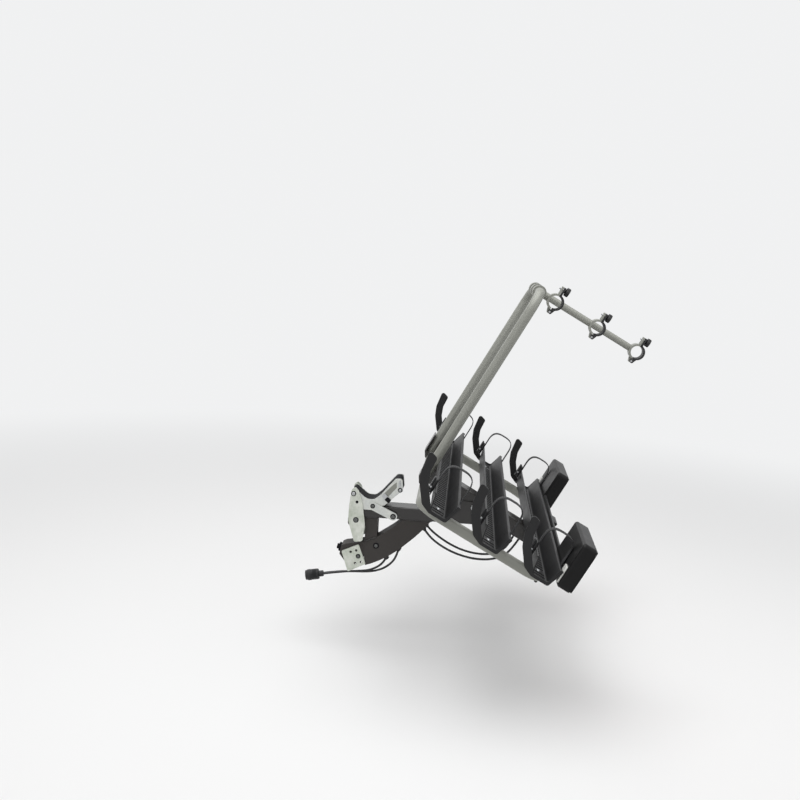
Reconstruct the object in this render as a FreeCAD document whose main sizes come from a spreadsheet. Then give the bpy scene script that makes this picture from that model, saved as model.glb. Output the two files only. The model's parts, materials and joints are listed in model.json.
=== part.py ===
"""Platform bike rack for three bikes, carried on a tow ball, with its platform tilted down.

Millimetres. X runs to the vehicle's right, Y to its front and Z up. The origin is the centre of
the tow ball. The platform is drawn level and then turned about its tilt pin.
"""
import FreeCAD, Part
import math
import os
from FreeCAD import Placement, Rotation, Vector

SIZES = {
    "ball_dia": 50, "ball_clearance": 0.1,
    "cheek_thick": 5, "cheek_hole_dia": 8,
    "beam_width": 70, "beam_height": 40, "beam_wall": 3, "beam_top": 178,
    "beam_front": -22, "arch_width": 60,
    "pivot_back": 383, "pivot_up": 195, "pivot_dia": 16, "pivot_head": 4,
    "ear_thick": 5, "ear_radius": 18, "running_gap": 0.05, "side_gap": 1,
    "tilt_angle": 28.5,
    "jaw_thick": 5, "jaw_gap": 0.4, "jaw_pin_dia": 12,
    "lever_thick": 4.5, "lever_outer": 40, "open_pivot_gap": 1.3,
    "deck_height": 231, "deck_front": -190, "deck_rear": 24, "deck_half": 500,
    "rail_width": 20, "rail_height": 30, "rail_corner": 60, "deck_beam_height": 50,
    "tray_first": -240, "tray_pitch": 163, "tray_length": 1150, "tray_wall": 2.5,
    "tray_floor": 50, "tray_mouth": 72, "tray_height": 55, "tray_lip": 5,
    "strap_at": 70, "strap_width": 25, "strap_thick": 3, "strap_rise": 80,
    "hoop_dia": 30, "hoop_wall": 2.5, "hoop_half": 200, "hoop_rise": 650, "hoop_corner": 65,
    "hoop_line": -183, "foot_thick": 4,
    "arm_dia": 22, "arm_spacing": 105, "collar_wall": 6, "collar_width": 34,
    "clamp_bore": 40, "clamp_wall": 6, "clamp_width": 36, "knob_dia": 30, "screw_dia": 6,
    "board_thick": 6, "board_low": 158, "board_high": 292, "board_half": 330,
    "lamp_low": 243, "lamp_high": 384, "lamp_depth": 39, "lamp_end": 590, "lens_thick": 6, "board_gap": 12,
    "plate_long": 520, "plate_tall": 110, "plate_thick": 2,
    "plunger_dia": 10, "plunger_travel": 8, "plunger_back": 305, "plunger_up": 206,
    "bracket_wide": 40, "bracket_at": 250, "foot_drop": 22, "foot_rise": 60, "foot_wide": 60,
    "bush_radius": 10.2,
    "lead_dia": 7,
}

document = FreeCAD.newDocument("bike_rack")
sheet = document.addObject("Spreadsheet::Sheet", "Sizes")
for row, (alias, number) in enumerate(SIZES.items(), start=1):
    sheet.set(f"A{row}", alias)
    sheet.set(f"B{row}", str(number))
    sheet.setAlias(f"B{row}", alias)
document.recompute()


def size(alias):
    """The number that the sheet holds under this alias."""
    return float(sheet.get(alias))


nodes = {}
AROUND_X = Rotation(Vector(0, 1, 0), 90)
AROUND_Y = Rotation(Vector(1, 0, 0), 90)
pivot = Vector(0, -size("pivot_back"), size("pivot_up"))
TILTED = Placement(Vector(), Rotation(Vector(1, 0, 0), size("tilt_angle")), pivot)
FIXED = Placement()


def deck_end():
    """The Y of the rear rail's middle line, behind the last tray."""
    return size("tray_first") - 2 * size("tray_pitch") - size("deck_rear")


def polar(centre, radius, degrees):
    """The point of a plane at this radius and angle from the centre."""
    angle = math.radians(degrees)
    return centre[0] + radius * math.cos(angle), centre[1] + radius * math.sin(angle)


def rounded(corners):
    """Edges of a closed outline through (u, v, radius) corners, each rounded by its radius."""
    points = [Vector(c[0], c[1], 0) for c in corners]
    radii = [c[2] if len(c) > 2 else 0 for c in corners]
    starts, ends, arcs = [], [], []
    for i, corner in enumerate(points):
        back = (points[i - 1] - corner).normalize()
        ahead = (points[(i + 1) % len(points)] - corner).normalize()
        half = back.getAngle(ahead) / 2
        reach = radii[i] / math.tan(half) if radii[i] else 0
        starts.append(corner + back * reach)
        ends.append(corner + ahead * reach)
        if reach:
            middle = (back + ahead).normalize()
            arcs.append(corner + middle * (radii[i] / math.sin(half) - radii[i]))
        else:
            arcs.append(None)
    edges = []
    for i, arc in enumerate(arcs):
        if arc is not None:
            edges.append(Part.Arc(starts[i], arc, ends[i]))
        following = starts[(i + 1) % len(points)]
        if (following - ends[i]).Length > 1e-6:
            edges.append(Part.LineSegment(ends[i], following))
    return edges


def ring_sector(centre, inner, outer, first, last):
    """Edges of a ring's sector from the first to the last angle."""
    middle = (first + last) / 2
    corner = [Vector(*polar(centre, r, a), 0) for r, a in
              ((outer, first), (outer, middle), (outer, last),
               (inner, last), (inner, middle), (inner, first))]
    return [Part.Arc(*corner[0:3]), Part.LineSegment(corner[2], corner[3]),
            Part.Arc(*corner[3:6]), Part.LineSegment(corner[5], corner[0])]


def circle(centre, radius):
    """A circle of a sketch."""
    return [Part.Circle(Vector(centre[0], centre[1], 0), Vector(0, 0, 1), radius)]


def new_body(label, place=FIXED, alone=True):
    """An empty body, which is a node if it stands alone and otherwise goes into one."""
    body = document.addObject("PartDesign::Body", label)
    body.Label = label
    body.Placement = place
    if alone:
        nodes[label] = body
    return body


def sketch_on(body, plane, start, edges):
    """A sketch of these edges on one of the body's planes, moved along the plane's normal."""
    sketch = body.newObject("Sketcher::SketchObject", body.Label + "_sketch")
    support = next(f for f in body.Origin.OriginFeatures if f.Role == plane)
    sketch.AttachmentSupport = [(support, "")]
    sketch.MapMode = "FlatFace"
    sketch.AttachmentOffset = Placement(Vector(0, 0, start), Rotation())
    for edge in edges:
        sketch.addGeometry(edge, False)
    return sketch


def pad(body, plane, start, edges, length, symmetric=False):
    """A pad of the edges on the body, as long as the expression says."""
    sketch = sketch_on(body, plane, start, edges)
    feature = body.newObject("PartDesign::Pad", body.Label + "_pad")
    feature.Profile = sketch
    feature.SideType = "Symmetric" if symmetric else "One side"
    feature.setExpression("Length", length)
    sketch.Visibility = False
    body.Tip = feature
    return feature


def pocket(body, plane, start, edges, length):
    """A pocket through the body, cut the same length to both sides of its sketch."""
    sketch = sketch_on(body, plane, start, edges)
    feature = body.newObject("PartDesign::Pocket", body.Label + "_pocket")
    feature.Profile = sketch
    feature.SideType = "Symmetric"
    feature.setExpression("Length", length)
    body.Tip = feature
    return feature


def fillet(body, feature, radius, chosen):
    """Rounds the edges of the feature that the test chooses."""
    document.recompute()
    names = [f"Edge{i}" for i, e in enumerate(feature.Shape.Edges, start=1) if chosen(e)]
    rounding = body.newObject("PartDesign::Fillet", body.Label + "_fillet")
    rounding.Base = (feature, names)
    rounding.Radius = radius
    body.Tip = rounding


def round_bar(label, centre, axis, radius, length, place=FIXED):
    """A cylinder from the centre along an axis, its radius and length bound to expressions."""
    bar = document.addObject("Part::Cylinder", label)
    bar.Label = label
    bar.setExpression("Radius", radius)
    bar.setExpression("Height", length)
    bar.Placement = place.multiply(Placement(Vector(*centre), axis))
    return bar


def fused(label, pieces):
    """One solid from pieces that overlap."""
    union = document.addObject("Part::MultiFuse", label)
    union.Shapes = pieces
    union.Label = label
    return union


def joined(label, pieces):
    """One solid from pieces that overlap, as a node."""
    nodes[label] = fused(label, pieces)


def grouped(label, pieces):
    """Separate solids that share a node."""
    group = document.addObject("Part::Compound", label)
    group.Links = pieces
    group.Label = label
    nodes[label] = group
    return group


def headed_pin(label, centre, radius, reach, head, place=FIXED):
    """A pin along X through the centre, to the reach on both sides, with a head at each end."""
    rod = round_bar(label + "_rod", (-reach, centre[0], centre[1]), AROUND_X, radius, str(2 * reach), place)
    ends = []
    for sign in (-1, 1):
        at = reach if sign > 0 else -reach - head
        ends.append(round_bar(f"{label}_head_{sign + 1}", (at, centre[0], centre[1]), AROUND_X,
                              f"{radius} * 1.5", str(head), place))
    return joined(label, [rod] + ends)


half_beam = size("beam_width") / 2
beam_low = size("beam_top") - size("beam_height")
arch_half = size("arch_width") / 2
post_front, post_rear = -35, -74
ARCH_TOP = [(-30, 55), (-78, 76), (-125, 109), (-158, beam_low)]
ARCH_LOW = [(-246, beam_low), (-207, 91, 400), (-151, 40, 400), (-93, -5, 330), (-40, -23)]
bracket_front, bracket_low, bracket_high = 22, 108, beam_low


def coupling():
    """The fixed welded frame: box beam, curved gusset beam, post and hook bracket."""
    wall = size("beam_wall")
    beam = new_body("main_beam")
    outer = rounded([(-half_beam, beam_low, 5), (half_beam, beam_low, 5),
                     (half_beam, size("beam_top"), 5), (-half_beam, size("beam_top"), 5)])
    inset = half_beam - wall
    inner = rounded([(-inset, beam_low + wall, 2), (inset, beam_low + wall, 2),
                     (inset, size("beam_top") - wall, 2), (-inset, size("beam_top") - wall, 2)])
    pad(beam, "XZ_Plane", -size("beam_front"), outer + inner, "Sizes.pivot_back + Sizes.beam_front")

    arch = new_body("arch_beam")
    pad(arch, "YZ_Plane", 0, rounded(ARCH_TOP + ARCH_LOW),
        "Sizes.arch_width", True)
    hollow = [(-40, 55), (-80, 72), (-128, 105), (-165, beam_low + 1), (-238, beam_low + 1),
              (-204, 95), (-148, 45), (-90, 1), (-44, -17)]
    pocket(arch, "YZ_Plane", 0, rounded(hollow), "Sizes.arch_width - 2 * Sizes.beam_wall")

    post = new_body("coupling_post")
    pad(post, "YZ_Plane", 0, rounded([(post_front, beam_low), (post_rear, beam_low),
                                      (post_rear, 74.25), (post_front, 57.19)]), "Sizes.arch_width", True)
    bracket = new_body("hook_bracket")
    pad(bracket, "YZ_Plane", 0,
        rounded([(post_front, bracket_low), (bracket_front, bracket_low, 8), (bracket_front, bracket_high, 8),
                 (post_front, bracket_high)]) + circle(JAW_PIVOT, size("jaw_pin_dia") / 2),
        "Sizes.arch_width", True)


def cheeks():
    """The plated cheek plates around the tow ball, the socket between them and their screws."""
    outline = [(38, 21, 4), (-17, 47, 4), (-42, -17, 4), (15, -47, 4)]
    holes = [(8, 20), (-10, 26), (-8, -17), (-27, -12)]
    plates = []
    for side, name in ((-1, "left"), (1, "right")):
        cheek = new_body("cheek_" + name, alone=False)
        plates.append(cheek)
        start = arch_half if side > 0 else -arch_half - size("cheek_thick")
        edges = rounded(outline)
        for hole in holes:
            edges += circle(hole, size("cheek_hole_dia") / 2)
        pad(cheek, "YZ_Plane", start, edges, "Sizes.cheek_thick")
    grouped("cheek_plates", plates)
    block = new_body("socket_block", alone=False)
    pad(block, "YZ_Plane", 0,
        rounded([(45, 10, 3), (40, 38, 5), (28, 44, 4), (-29.8, 54.8), (-35.8, 8, 2), (-26, -18, 2),
                 (20, -22, 6)]),
        "Sizes.arch_width", True)
    ball = document.addObject("Part::Sphere", "ball_space")
    ball.setExpression("Radius", "Sizes.ball_dia / 2 + Sizes.ball_clearance")
    neck = round_bar("neck_space", (0, 0, -60), Rotation(), "Sizes.ball_dia / 2 + Sizes.ball_clearance", "60")
    room = document.addObject("Part::Fuse", "ball_room")
    room.Base, room.Tool = ball, neck
    socket = document.addObject("Part::Cut", "ball_socket")
    socket.Base, socket.Tool = block, room
    socket.Label = "ball_socket"
    nodes["ball_socket"] = socket
    screws = []
    for side in (-1, 1):
        reach = arch_half + size("cheek_thick")
        at = reach if side > 0 else -reach - 6
        screws.append(round_bar(f"cheek_screw_{side + 1}", (at, -17, 7), AROUND_X, "7", "6"))
        at = arch_half if side > 0 else -arch_half - 5
        screws.append(round_bar(f"arch_screw_{side + 1}", (at, -73, 45), AROUND_X, "9", "5"))
    grouped("cheek_screws", screws)
    lean = Rotation(Vector(1, 0, 0), -80)
    head = round_bar("adjuster_head", (0, 42.6, 25), lean, "15", "7")
    shank = round_bar("adjuster_shank", (0, 42.6, 25), lean, "9", "14")
    joined("ball_adjuster_screw", [shank, head])


JAW_PIVOT = (-5, 130)
LEVER_PIN = (6, 216)
LINK_PIN = (-57, 179)
LINK_PIVOT = (-124, 149)
link_inner = size("lever_outer") + size("jaw_gap")


def clamp_linkage():
    """The plated hook plates, the lever that draws them and its link plates."""
    jaw_outline = [(2, 239, 7), (-10, 226, 10), (-24, 186, 80), (-35, 115, 80), (-29, 61, 6), (-2, 57, 7),
                   (20, 127, 60), (19, 178, 90), (13, 227, 10)]
    pin = size("jaw_pin_dia") / 2
    hooks, links, levers, studs = [], [], [], []
    for side, name in ((-1, "left"), (1, "right")):
        plate = new_body("hook_" + name, alone=False)
        hooks.append(plate)
        start = link_inner if side > 0 else -link_inner - size("jaw_thick")
        pad(plate, "YZ_Plane", start, rounded(jaw_outline) + circle(JAW_PIVOT, pin + size("running_gap"))
            + circle(LEVER_PIN, 5) + circle((-6, 189), 3.5), "Sizes.jaw_thick")
        link = new_body("link_" + name, alone=False)
        links.append(link)
        start = link_inner if side > 0 else -link_inner - size("cheek_thick")
        along = Vector(LINK_PIN[0] - LINK_PIVOT[0], LINK_PIN[1] - LINK_PIVOT[1], 0).normalize() * 13
        across = Vector(-along.y, along.x, 0)
        low, high = Vector(*LINK_PIVOT, 0), Vector(*LINK_PIN, 0)
        ends = [low - across, low - along, low + across, high + across, high + along, high - across]
        edges = [Part.Arc(ends[0], ends[1], ends[2]), Part.LineSegment(ends[2], ends[3]),
                 Part.Arc(ends[3], ends[4], ends[5]), Part.LineSegment(ends[5], ends[0])]
        pad(link, "YZ_Plane", start,
            edges + circle(LINK_PIVOT, 6 + size("running_gap")) + circle(LINK_PIN, 5),
            "Sizes.cheek_thick")
        lever = new_body("lever_" + name, alone=False)
        levers.append(lever)
        outer, thick = size("lever_outer"), size("lever_thick")
        start = outer - thick if side > 0 else -outer
        outline = [(14, 219, 7), (6, 232, 7), (-9, 221, 16), (-36, 200, 26), (-60, 199, 16), (-80, 216, 14),
                   (-127, 272, 9), (-147, 273, 8), (-152, 232, 6), (-140, 226, 6), (-95, 183, 10),
                   (-76, 176, 8),
                   (-52, 165, 8), (-26, 165, 16), (13, 203, 10)]
        pad(lever, "YZ_Plane", start, rounded(outline) + circle(LEVER_PIN, 5 + size("running_gap"))
            + circle(LINK_PIN, 5 + size("open_pivot_gap")), "Sizes.lever_thick")
    grouped("hook_plates", hooks)
    grouped("link_plates", links)
    grouped("lever_plates", levers)
    web = new_body("lever_web")
    pad(web, "YZ_Plane", 0, rounded([(-38, 199.7), (-60, 198.8, 16), (-80, 215.8, 14), (-122, 265.6),
                                    (-125, 263), (-82, 212.5, 14), (-61, 194.8, 12), (-38, 195.7)]),
        "2 * (Sizes.lever_outer - Sizes.lever_thick)", True)
    reach = size("lever_outer") - size("lever_thick")
    across = []
    for at in ((-139, 258), (-141, 239)):
        across.append(round_bar(f"lever_rod_{len(across)}", (-reach, *at), AROUND_X, "6", str(2 * reach)))
    grouped("lever_cross_rods", across)
    outside = link_inner + size("jaw_thick")
    headed_pin("hook_pivot_bolt", JAW_PIVOT, "Sizes.jaw_pin_dia / 2", outside + 0.5, 5)
    headed_pin("lever_pin", LEVER_PIN, "5", outside, 4)
    pins = []
    for side, name in ((-1, "left"), (1, "right")):
        length = outside - half_beam - size("jaw_gap")
        start = outside - length if side > 0 else -outside
        rod = round_bar("link_pin_rod_" + name, (start, *LINK_PIN), AROUND_X, "5", str(length))
        at = outside if side > 0 else -outside - 4
        head = round_bar("link_pin_head_" + name, (at, *LINK_PIN), AROUND_X, "7.5", "4")
        pins.append(fused("link_pin_" + name, [rod, head]))
        length = outside - half_beam + 3
        start = half_beam if side > 0 else -half_beam - length
        stud = round_bar("link_stud_rod_" + name, (start, *LINK_PIVOT), AROUND_X, "6", str(length))
        at = outside + 0.4 if side > 0 else -outside - 5.4
        head = round_bar("link_stud_head_" + name, (at, *LINK_PIVOT), AROUND_X, "9", "5")
        studs += [stud, head]
    grouped("link_pin", pins)
    grouped("link_studs", [fused("link_stud_left", studs[:2]), fused("link_stud_right", studs[2:])])
    rod = round_bar("hook_rod", (-link_inner, -12, 76), AROUND_X, "8", str(2 * link_inner))
    nodes["hook_cross_rod"] = rod
    rod.Label = "hook_cross_rod"


def tilt_pivot():
    """The ears on the fixed beam, the tilt pin through them and the locking plunger."""
    back, up = -size("pivot_back"), size("pivot_up")
    radius = size("ear_radius")
    hole = circle((back, up), size("pivot_dia") / 2)
    plunger = (-size("plunger_back"), size("plunger_up"))
    for side, name in ((-1, "left"), (1, "right")):
        ear = new_body("pivot_ear_" + name)
        start = half_beam if side > 0 else -half_beam - size("ear_thick")
        outline = [(back - radius, up + radius, radius * 0.99), (back - radius, 146, 8),
                   (plunger[0] + 16, 146, 8), (plunger[0] + 16, plunger[1] + 14, 10),
                   (back + radius, up + radius, 4)]
        edges = rounded(outline) + hole
        if side < 0:
            edges += circle(plunger, size("plunger_dia") / 2 + size("running_gap"))
        pad(ear, "YZ_Plane", start, edges, "Sizes.ear_thick")
    face = half_beam + size("ear_thick")
    headed_pin("tilt_pin", (back, up), "Sizes.pivot_dia / 2", face, size("pivot_head"))
    housing = new_body("plunger_housing")
    pad(housing, "YZ_Plane", -face - 22,
        circle(plunger, 9) + circle(plunger, size("plunger_dia") / 2 + 0.05), "22")
    rod = round_bar("plunger_rod", (-face - 40, *plunger), AROUND_X, "Sizes.plunger_dia / 2",
                    str(40 + size("ear_thick") - 0.5))
    knob = round_bar("plunger_grip", (-face - 56, *plunger), AROUND_X, "14", "20")
    joined("plunger", [rod, knob])


def deck():
    """The tilting frame: centre beam and the rail loop that carries the trays."""
    top = size("deck_height")
    low = top - size("deck_beam_height")
    half = half_beam - size("side_gap")
    wall = size("beam_wall")
    front = size("deck_front") - size("rail_width") / 2
    beam = new_body("deck_beam", TILTED)
    outer = rounded([(-half, low, 5), (half, low, 5), (half, top, 5), (-half, top, 5)])
    inset = half - wall
    inner = rounded([(-inset, low + wall, 0.5), (inset, low + wall, 0.5),
                     (inset, top - wall, 0.5), (-inset, top - wall, 0.5)])
    pad(beam, "XZ_Plane", -front, outer + inner,
        "Sizes.deck_front - Sizes.tray_first + 2 * Sizes.tray_pitch + Sizes.deck_rear - Sizes.rail_width")
    pocket(beam, "YZ_Plane", 0, circle((-size("pivot_back"), size("pivot_up")),
                                      size("pivot_dia") / 2 + size("running_gap")), "Sizes.beam_width * 2")
    hole = circle((-size("plunger_back"), size("plunger_up")), size("plunger_dia") / 2 + 1)
    pocket(beam, "YZ_Plane", -half, hole, "Sizes.beam_wall * 4")

    rail = new_body("rail_loop", TILTED)
    outer_half = size("deck_half") + size("rail_width") / 2
    inner_half = outer_half - size("rail_width")
    corner = size("rail_corner")
    edges = []
    for half_x, grow in ((outer_half, 1), (inner_half, -1)):
        y_front = size("deck_front") + grow * size("rail_width") / 2
        y_rear = deck_end() - grow * size("rail_width") / 2
        radius = corner + grow * size("rail_width") / 2
        edges += rounded([(-half_x, y_rear, radius), (half_x, y_rear, radius),
                          (half_x, y_front, radius), (-half_x, y_front, radius)])
    loop = pad(rail, "XY_Plane", top - size("rail_height"), edges, "Sizes.rail_height")
    bottom = top - size("rail_height")
    flat = [top, bottom]
    fillet(rail, loop, 7, lambda e: any(abs(e.BoundBox.ZMin - z) < 0.01 and abs(e.BoundBox.ZMax - z) < 0.01
                                       for z in flat))
    bore_at = (-size("pivot_back"), size("pivot_up"))
    bushes = []
    for side, name in ((-1, "left"), (1, "right")):
        bush = new_body("pivot_bush_" + name, TILTED, alone=False)
        bushes.append(bush)
        start = half - wall - 8 if side > 0 else -half + wall
        pad(bush, "YZ_Plane", start, circle(bore_at, size("bush_radius"))
            + circle(bore_at, size("pivot_dia") / 2 + size("running_gap")), "8")
    grouped("pivot_bushes", bushes)


def tray_line(number):
    """The Y of a tray's middle."""
    return size("tray_first") - number * size("tray_pitch")


TRAY_NAMES = ("front", "middle", "rear")
CAP_OUTLINE = [(-28, -2, 8), (26, -2, 12), (54, 10, 16), (88, 54, 40), (103, 87, 40), (112, 147, 8),
               (83, 139, 8), (80, 99, 30), (67, 67, 30), (41, 32, 20), (22, 7, 8), (-22, 7, 8),
               (-34, 55, 2), (-44, 55, 2)]


def trays():
    """The wheel trays with their end caps, bolts, straps and buckles."""
    low = size("deck_height")
    wall, floor, mouth = size("tray_wall"), size("tray_floor") / 2, size("tray_mouth") / 2
    top, lip = low + size("tray_height"), size("tray_lip")
    caps, bolts, buckles, straps = [], [], [], []
    for number, name in enumerate(TRAY_NAMES):
        line = tray_line(number)
        tray = new_body("wheel_tray_" + name, TILTED)
        right = [(floor, low, 8), (mouth, top - wall, 3), (mouth + lip, top - wall), (mouth + lip, top, 2),
                 (mouth - wall, top, 3), (floor - wall, low + wall, 6)]
        left = [(-u, v, *r) for u, v, *r in reversed(right)]
        pad(tray, "YZ_Plane", 0, rounded([(line + p[0], *p[1:]) for p in right + left]),
            "Sizes.tray_length", True)
        for side, hand in ((-1, "left"), (1, "right")):
            end = size("tray_length") / 2
            cap = document.addObject("Part::Feature", f"tray_cap_{number}_{side + 1}")
            outline = rounded([(line + u, low + v, *r) for u, v, *r in CAP_OUTLINE])
            face = Part.Face(Part.Wire([e.toShape() for e in outline]))
            solid = face.extrude(Vector(0, 0, 6))
            solid.Placement = Placement(Vector(end if side > 0 else -end - 6, 0, 0),
                                        Rotation(Vector(1, 1, 1), 120))
            cap.Shape = Part.makeSolid(solid.Shells[0]) if solid.ShapeType != "Solid" else solid
            cap.Placement = TILTED.multiply(solid.Placement)
            caps.append(cap)
            bolts.append(round_bar(f"tray_bolt_{number}_{side + 1}",
                                   (side * size("deck_half"), line, low + wall),
                                   Rotation(), "8", "4", TILTED))
            strap = new_body(f"strap_{name}_{hand}", TILTED, alone=False)
            straps.append(strap)
            across = side * (size("tray_length") / 2 - size("strap_at"))
            crown = top + size("strap_rise")
            outside = mouth + lip + size("strap_thick")
            band = [(line - outside, low + 28), (line - outside, crown, 34), (line + outside, crown, 34),
                    (line + outside, low + 28), (line + outside - size("strap_thick"), low + 28),
                    (line + outside - size("strap_thick"), crown - size("strap_thick"), 31),
                    (line - outside + size("strap_thick"), crown - size("strap_thick"), 31),
                    (line - outside + size("strap_thick"), low + 28)]
            pad(strap, "YZ_Plane", across, rounded(band), "Sizes.strap_width", True)
            buckle = document.addObject("Part::Box", f"strap_buckle_{number}_{side + 1}")
            buckle.setExpression("Length", "Sizes.strap_width + 8")
            buckle.Width, buckle.Height = 14, 46
            buckle.Placement = TILTED.multiply(Placement(
                Vector(across - size("strap_width") / 2 - 4, line + outside, low + 34), Rotation()))
            buckles.append(buckle)
    grouped("wheel_straps", straps)
    grouped("tray_end_caps", caps)
    grouped("tray_bolts", bolts)
    grouped("strap_buckles", buckles)


hoop_axis = size("deck_height") + size("hoop_rise")


def hoop():
    """The upright hoop over the front tray and the feet that hold it on the rail loop."""
    body = new_body("hoop", TILTED)
    radius, half, corner = size("hoop_dia") / 2, size("hoop_half"), size("hoop_corner")
    low = size("deck_height")
    bend = corner * (1 - math.sqrt(0.5))
    path = sketch_on(body, "XZ_Plane", -size("hoop_line"), [
        Part.LineSegment(Vector(-half, low, 0), Vector(-half, hoop_axis - corner, 0)),
        Part.Arc(Vector(-half, hoop_axis - corner, 0), Vector(-half + bend, hoop_axis - bend, 0),
                 Vector(-half + corner, hoop_axis, 0)),
        Part.LineSegment(Vector(-half + corner, hoop_axis, 0), Vector(half - corner, hoop_axis, 0)),
        Part.Arc(Vector(half - corner, hoop_axis, 0), Vector(half - bend, hoop_axis - bend, 0),
                 Vector(half, hoop_axis - corner, 0)),
        Part.LineSegment(Vector(half, hoop_axis - corner, 0), Vector(half, low, 0))])
    section = sketch_on(body, "XY_Plane", low, circle((-half, size("hoop_line")), radius)
                        + circle((-half, size("hoop_line")), radius - size("hoop_wall")))
    tube = body.newObject("PartDesign::AdditivePipe", "hoop_pipe")
    tube.Profile = section
    tube.Spine = (path, [""])
    body.Tip = tube
    feet = []
    for side, name in ((-1, "left"), (1, "right")):
        foot = new_body("hoop_foot_" + name, TILTED, alone=False)
        feet.append(foot)
        rail_face = size("deck_front") + size("rail_width") / 2
        tube_face = size("hoop_line") + radius + 0.3
        thick, drop, rise = size("foot_thick"), size("foot_drop"), size("foot_rise")
        pad(foot, "YZ_Plane", side * half, rounded([
            (rail_face, low - drop), (rail_face, low), (tube_face, low), (tube_face, low + rise),
            (tube_face + thick, low + rise, 2), (tube_face + thick, low - 3, 3),
            (rail_face + thick, low - drop, 3)]),
            "Sizes.foot_wide", True)
    grouped("hoop_feet", feet)


CLAMP_LINES = [tray_line(n) for n in range(3)]
ARM_NAMES = ("short", "middle", "long")


def holder(number, name):
    """One arm round the hoop's top bar, with its hinged jaw and its clamp knob."""
    at = (number - 1) * size("arm_spacing")
    centre = (CLAMP_LINES[number], hoop_axis)
    inner = size("clamp_bore") / 2
    outer = inner + size("clamp_wall")
    hoop_outer = size("hoop_dia") / 2 + size("running_gap")
    hinge = (centre[0], centre[1] - outer - 7.5)
    screw = centre[1] + outer + 17
    arm = new_body("arm_body_" + name, TILTED, alone=False)
    ring = circle((size("hoop_line"), hoop_axis), hoop_outer + size("collar_wall"))
    pad(arm, "YZ_Plane", at, ring + circle((size("hoop_line"), hoop_axis), hoop_outer),
        "Sizes.collar_width", True)
    begin = size("hoop_line") - hoop_outer - 2
    finish = centre[0] + inner + 2
    if begin > finish:
        pad(arm, "XZ_Plane", -begin, circle((at, hoop_axis), size("arm_dia") / 2), str(begin - finish))
    pad(arm, "YZ_Plane", at, ring_sector(centre, inner, outer, -83, 86), "Sizes.clamp_width", True)
    web = rounded([(hinge[0], hinge[1] - 6, 5.9), (hinge[0] + 6, hinge[1] - 6, 5),
                   (centre[0] + 13, centre[1] - 20), (centre[0] + 3.4, centre[1] - outer + 1),
                   (hinge[0] - 6, hinge[1] + 4, 3)])
    pad(arm, "YZ_Plane", at, web + circle(hinge, 3 + size("running_gap")), "16", True)
    lugs = []
    for low_x, high_x in ((-13, -4.5), (4.5, 13)):
        lug = new_body(f"arm_lug_{name}_{len(lugs)}", TILTED, alone=False)
        pad(lug, "XZ_Plane", -(centre[0] + 6), rounded([
            (at + low_x, centre[1] + outer), (at + high_x, centre[1] + outer),
            (at + high_x, screw + 9, 2), (at + low_x, screw + 9, 2)]), "5")
        lugs.append(lug)
    grouped("holder_arm_" + name, [arm] + lugs)

    jaw = new_body("holder_jaw_" + name, TILTED)
    pad(jaw, "YZ_Plane", at, ring_sector(centre, inner, outer, 94, 263), "Sizes.clamp_width", True)
    for start in (at - 18, at + 8.4):
        back = rounded([(hinge[0], hinge[1] - 6, 5.9), (hinge[0] - 6, hinge[1] - 6, 5),
                        (centre[0] - 13, centre[1] - 20), (centre[0] - 3.4, centre[1] - outer + 1),
                        (hinge[0] + 6, hinge[1] + 4, 3)])
        pad(jaw, "YZ_Plane", start, back + circle(hinge, 3), "9.6")
    tab = rounded([(at - 13, centre[1] + inner + 2), (at + 13, centre[1] + inner + 2),
                   (at + 13, screw + 9, 4), (at - 13, screw + 9, 4)])
    pad(jaw, "XZ_Plane", -(centre[0] - 1.5), tab + circle((at, screw), size("screw_dia") / 2 + 0.05), "5")

    pin = round_bar("holder_pin_" + name, (at - 18, *hinge), AROUND_X, "3", "36", TILTED)
    nodes["holder_pin_" + name] = pin
    head_end = centre[0] - 1.5 - 5 - 0.4
    shank = round_bar("knob_shank_" + name, (at, centre[0] + 12, screw), AROUND_Y, "Sizes.screw_dia / 2",
                      str(centre[0] + 12 - head_end + 8), TILTED)
    grip = round_bar("knob_grip_" + name, (at, head_end, screw), AROUND_Y, "Sizes.knob_dia / 2", "16", TILTED)
    joined("holder_knob_" + name, [shank, grip])


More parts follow.
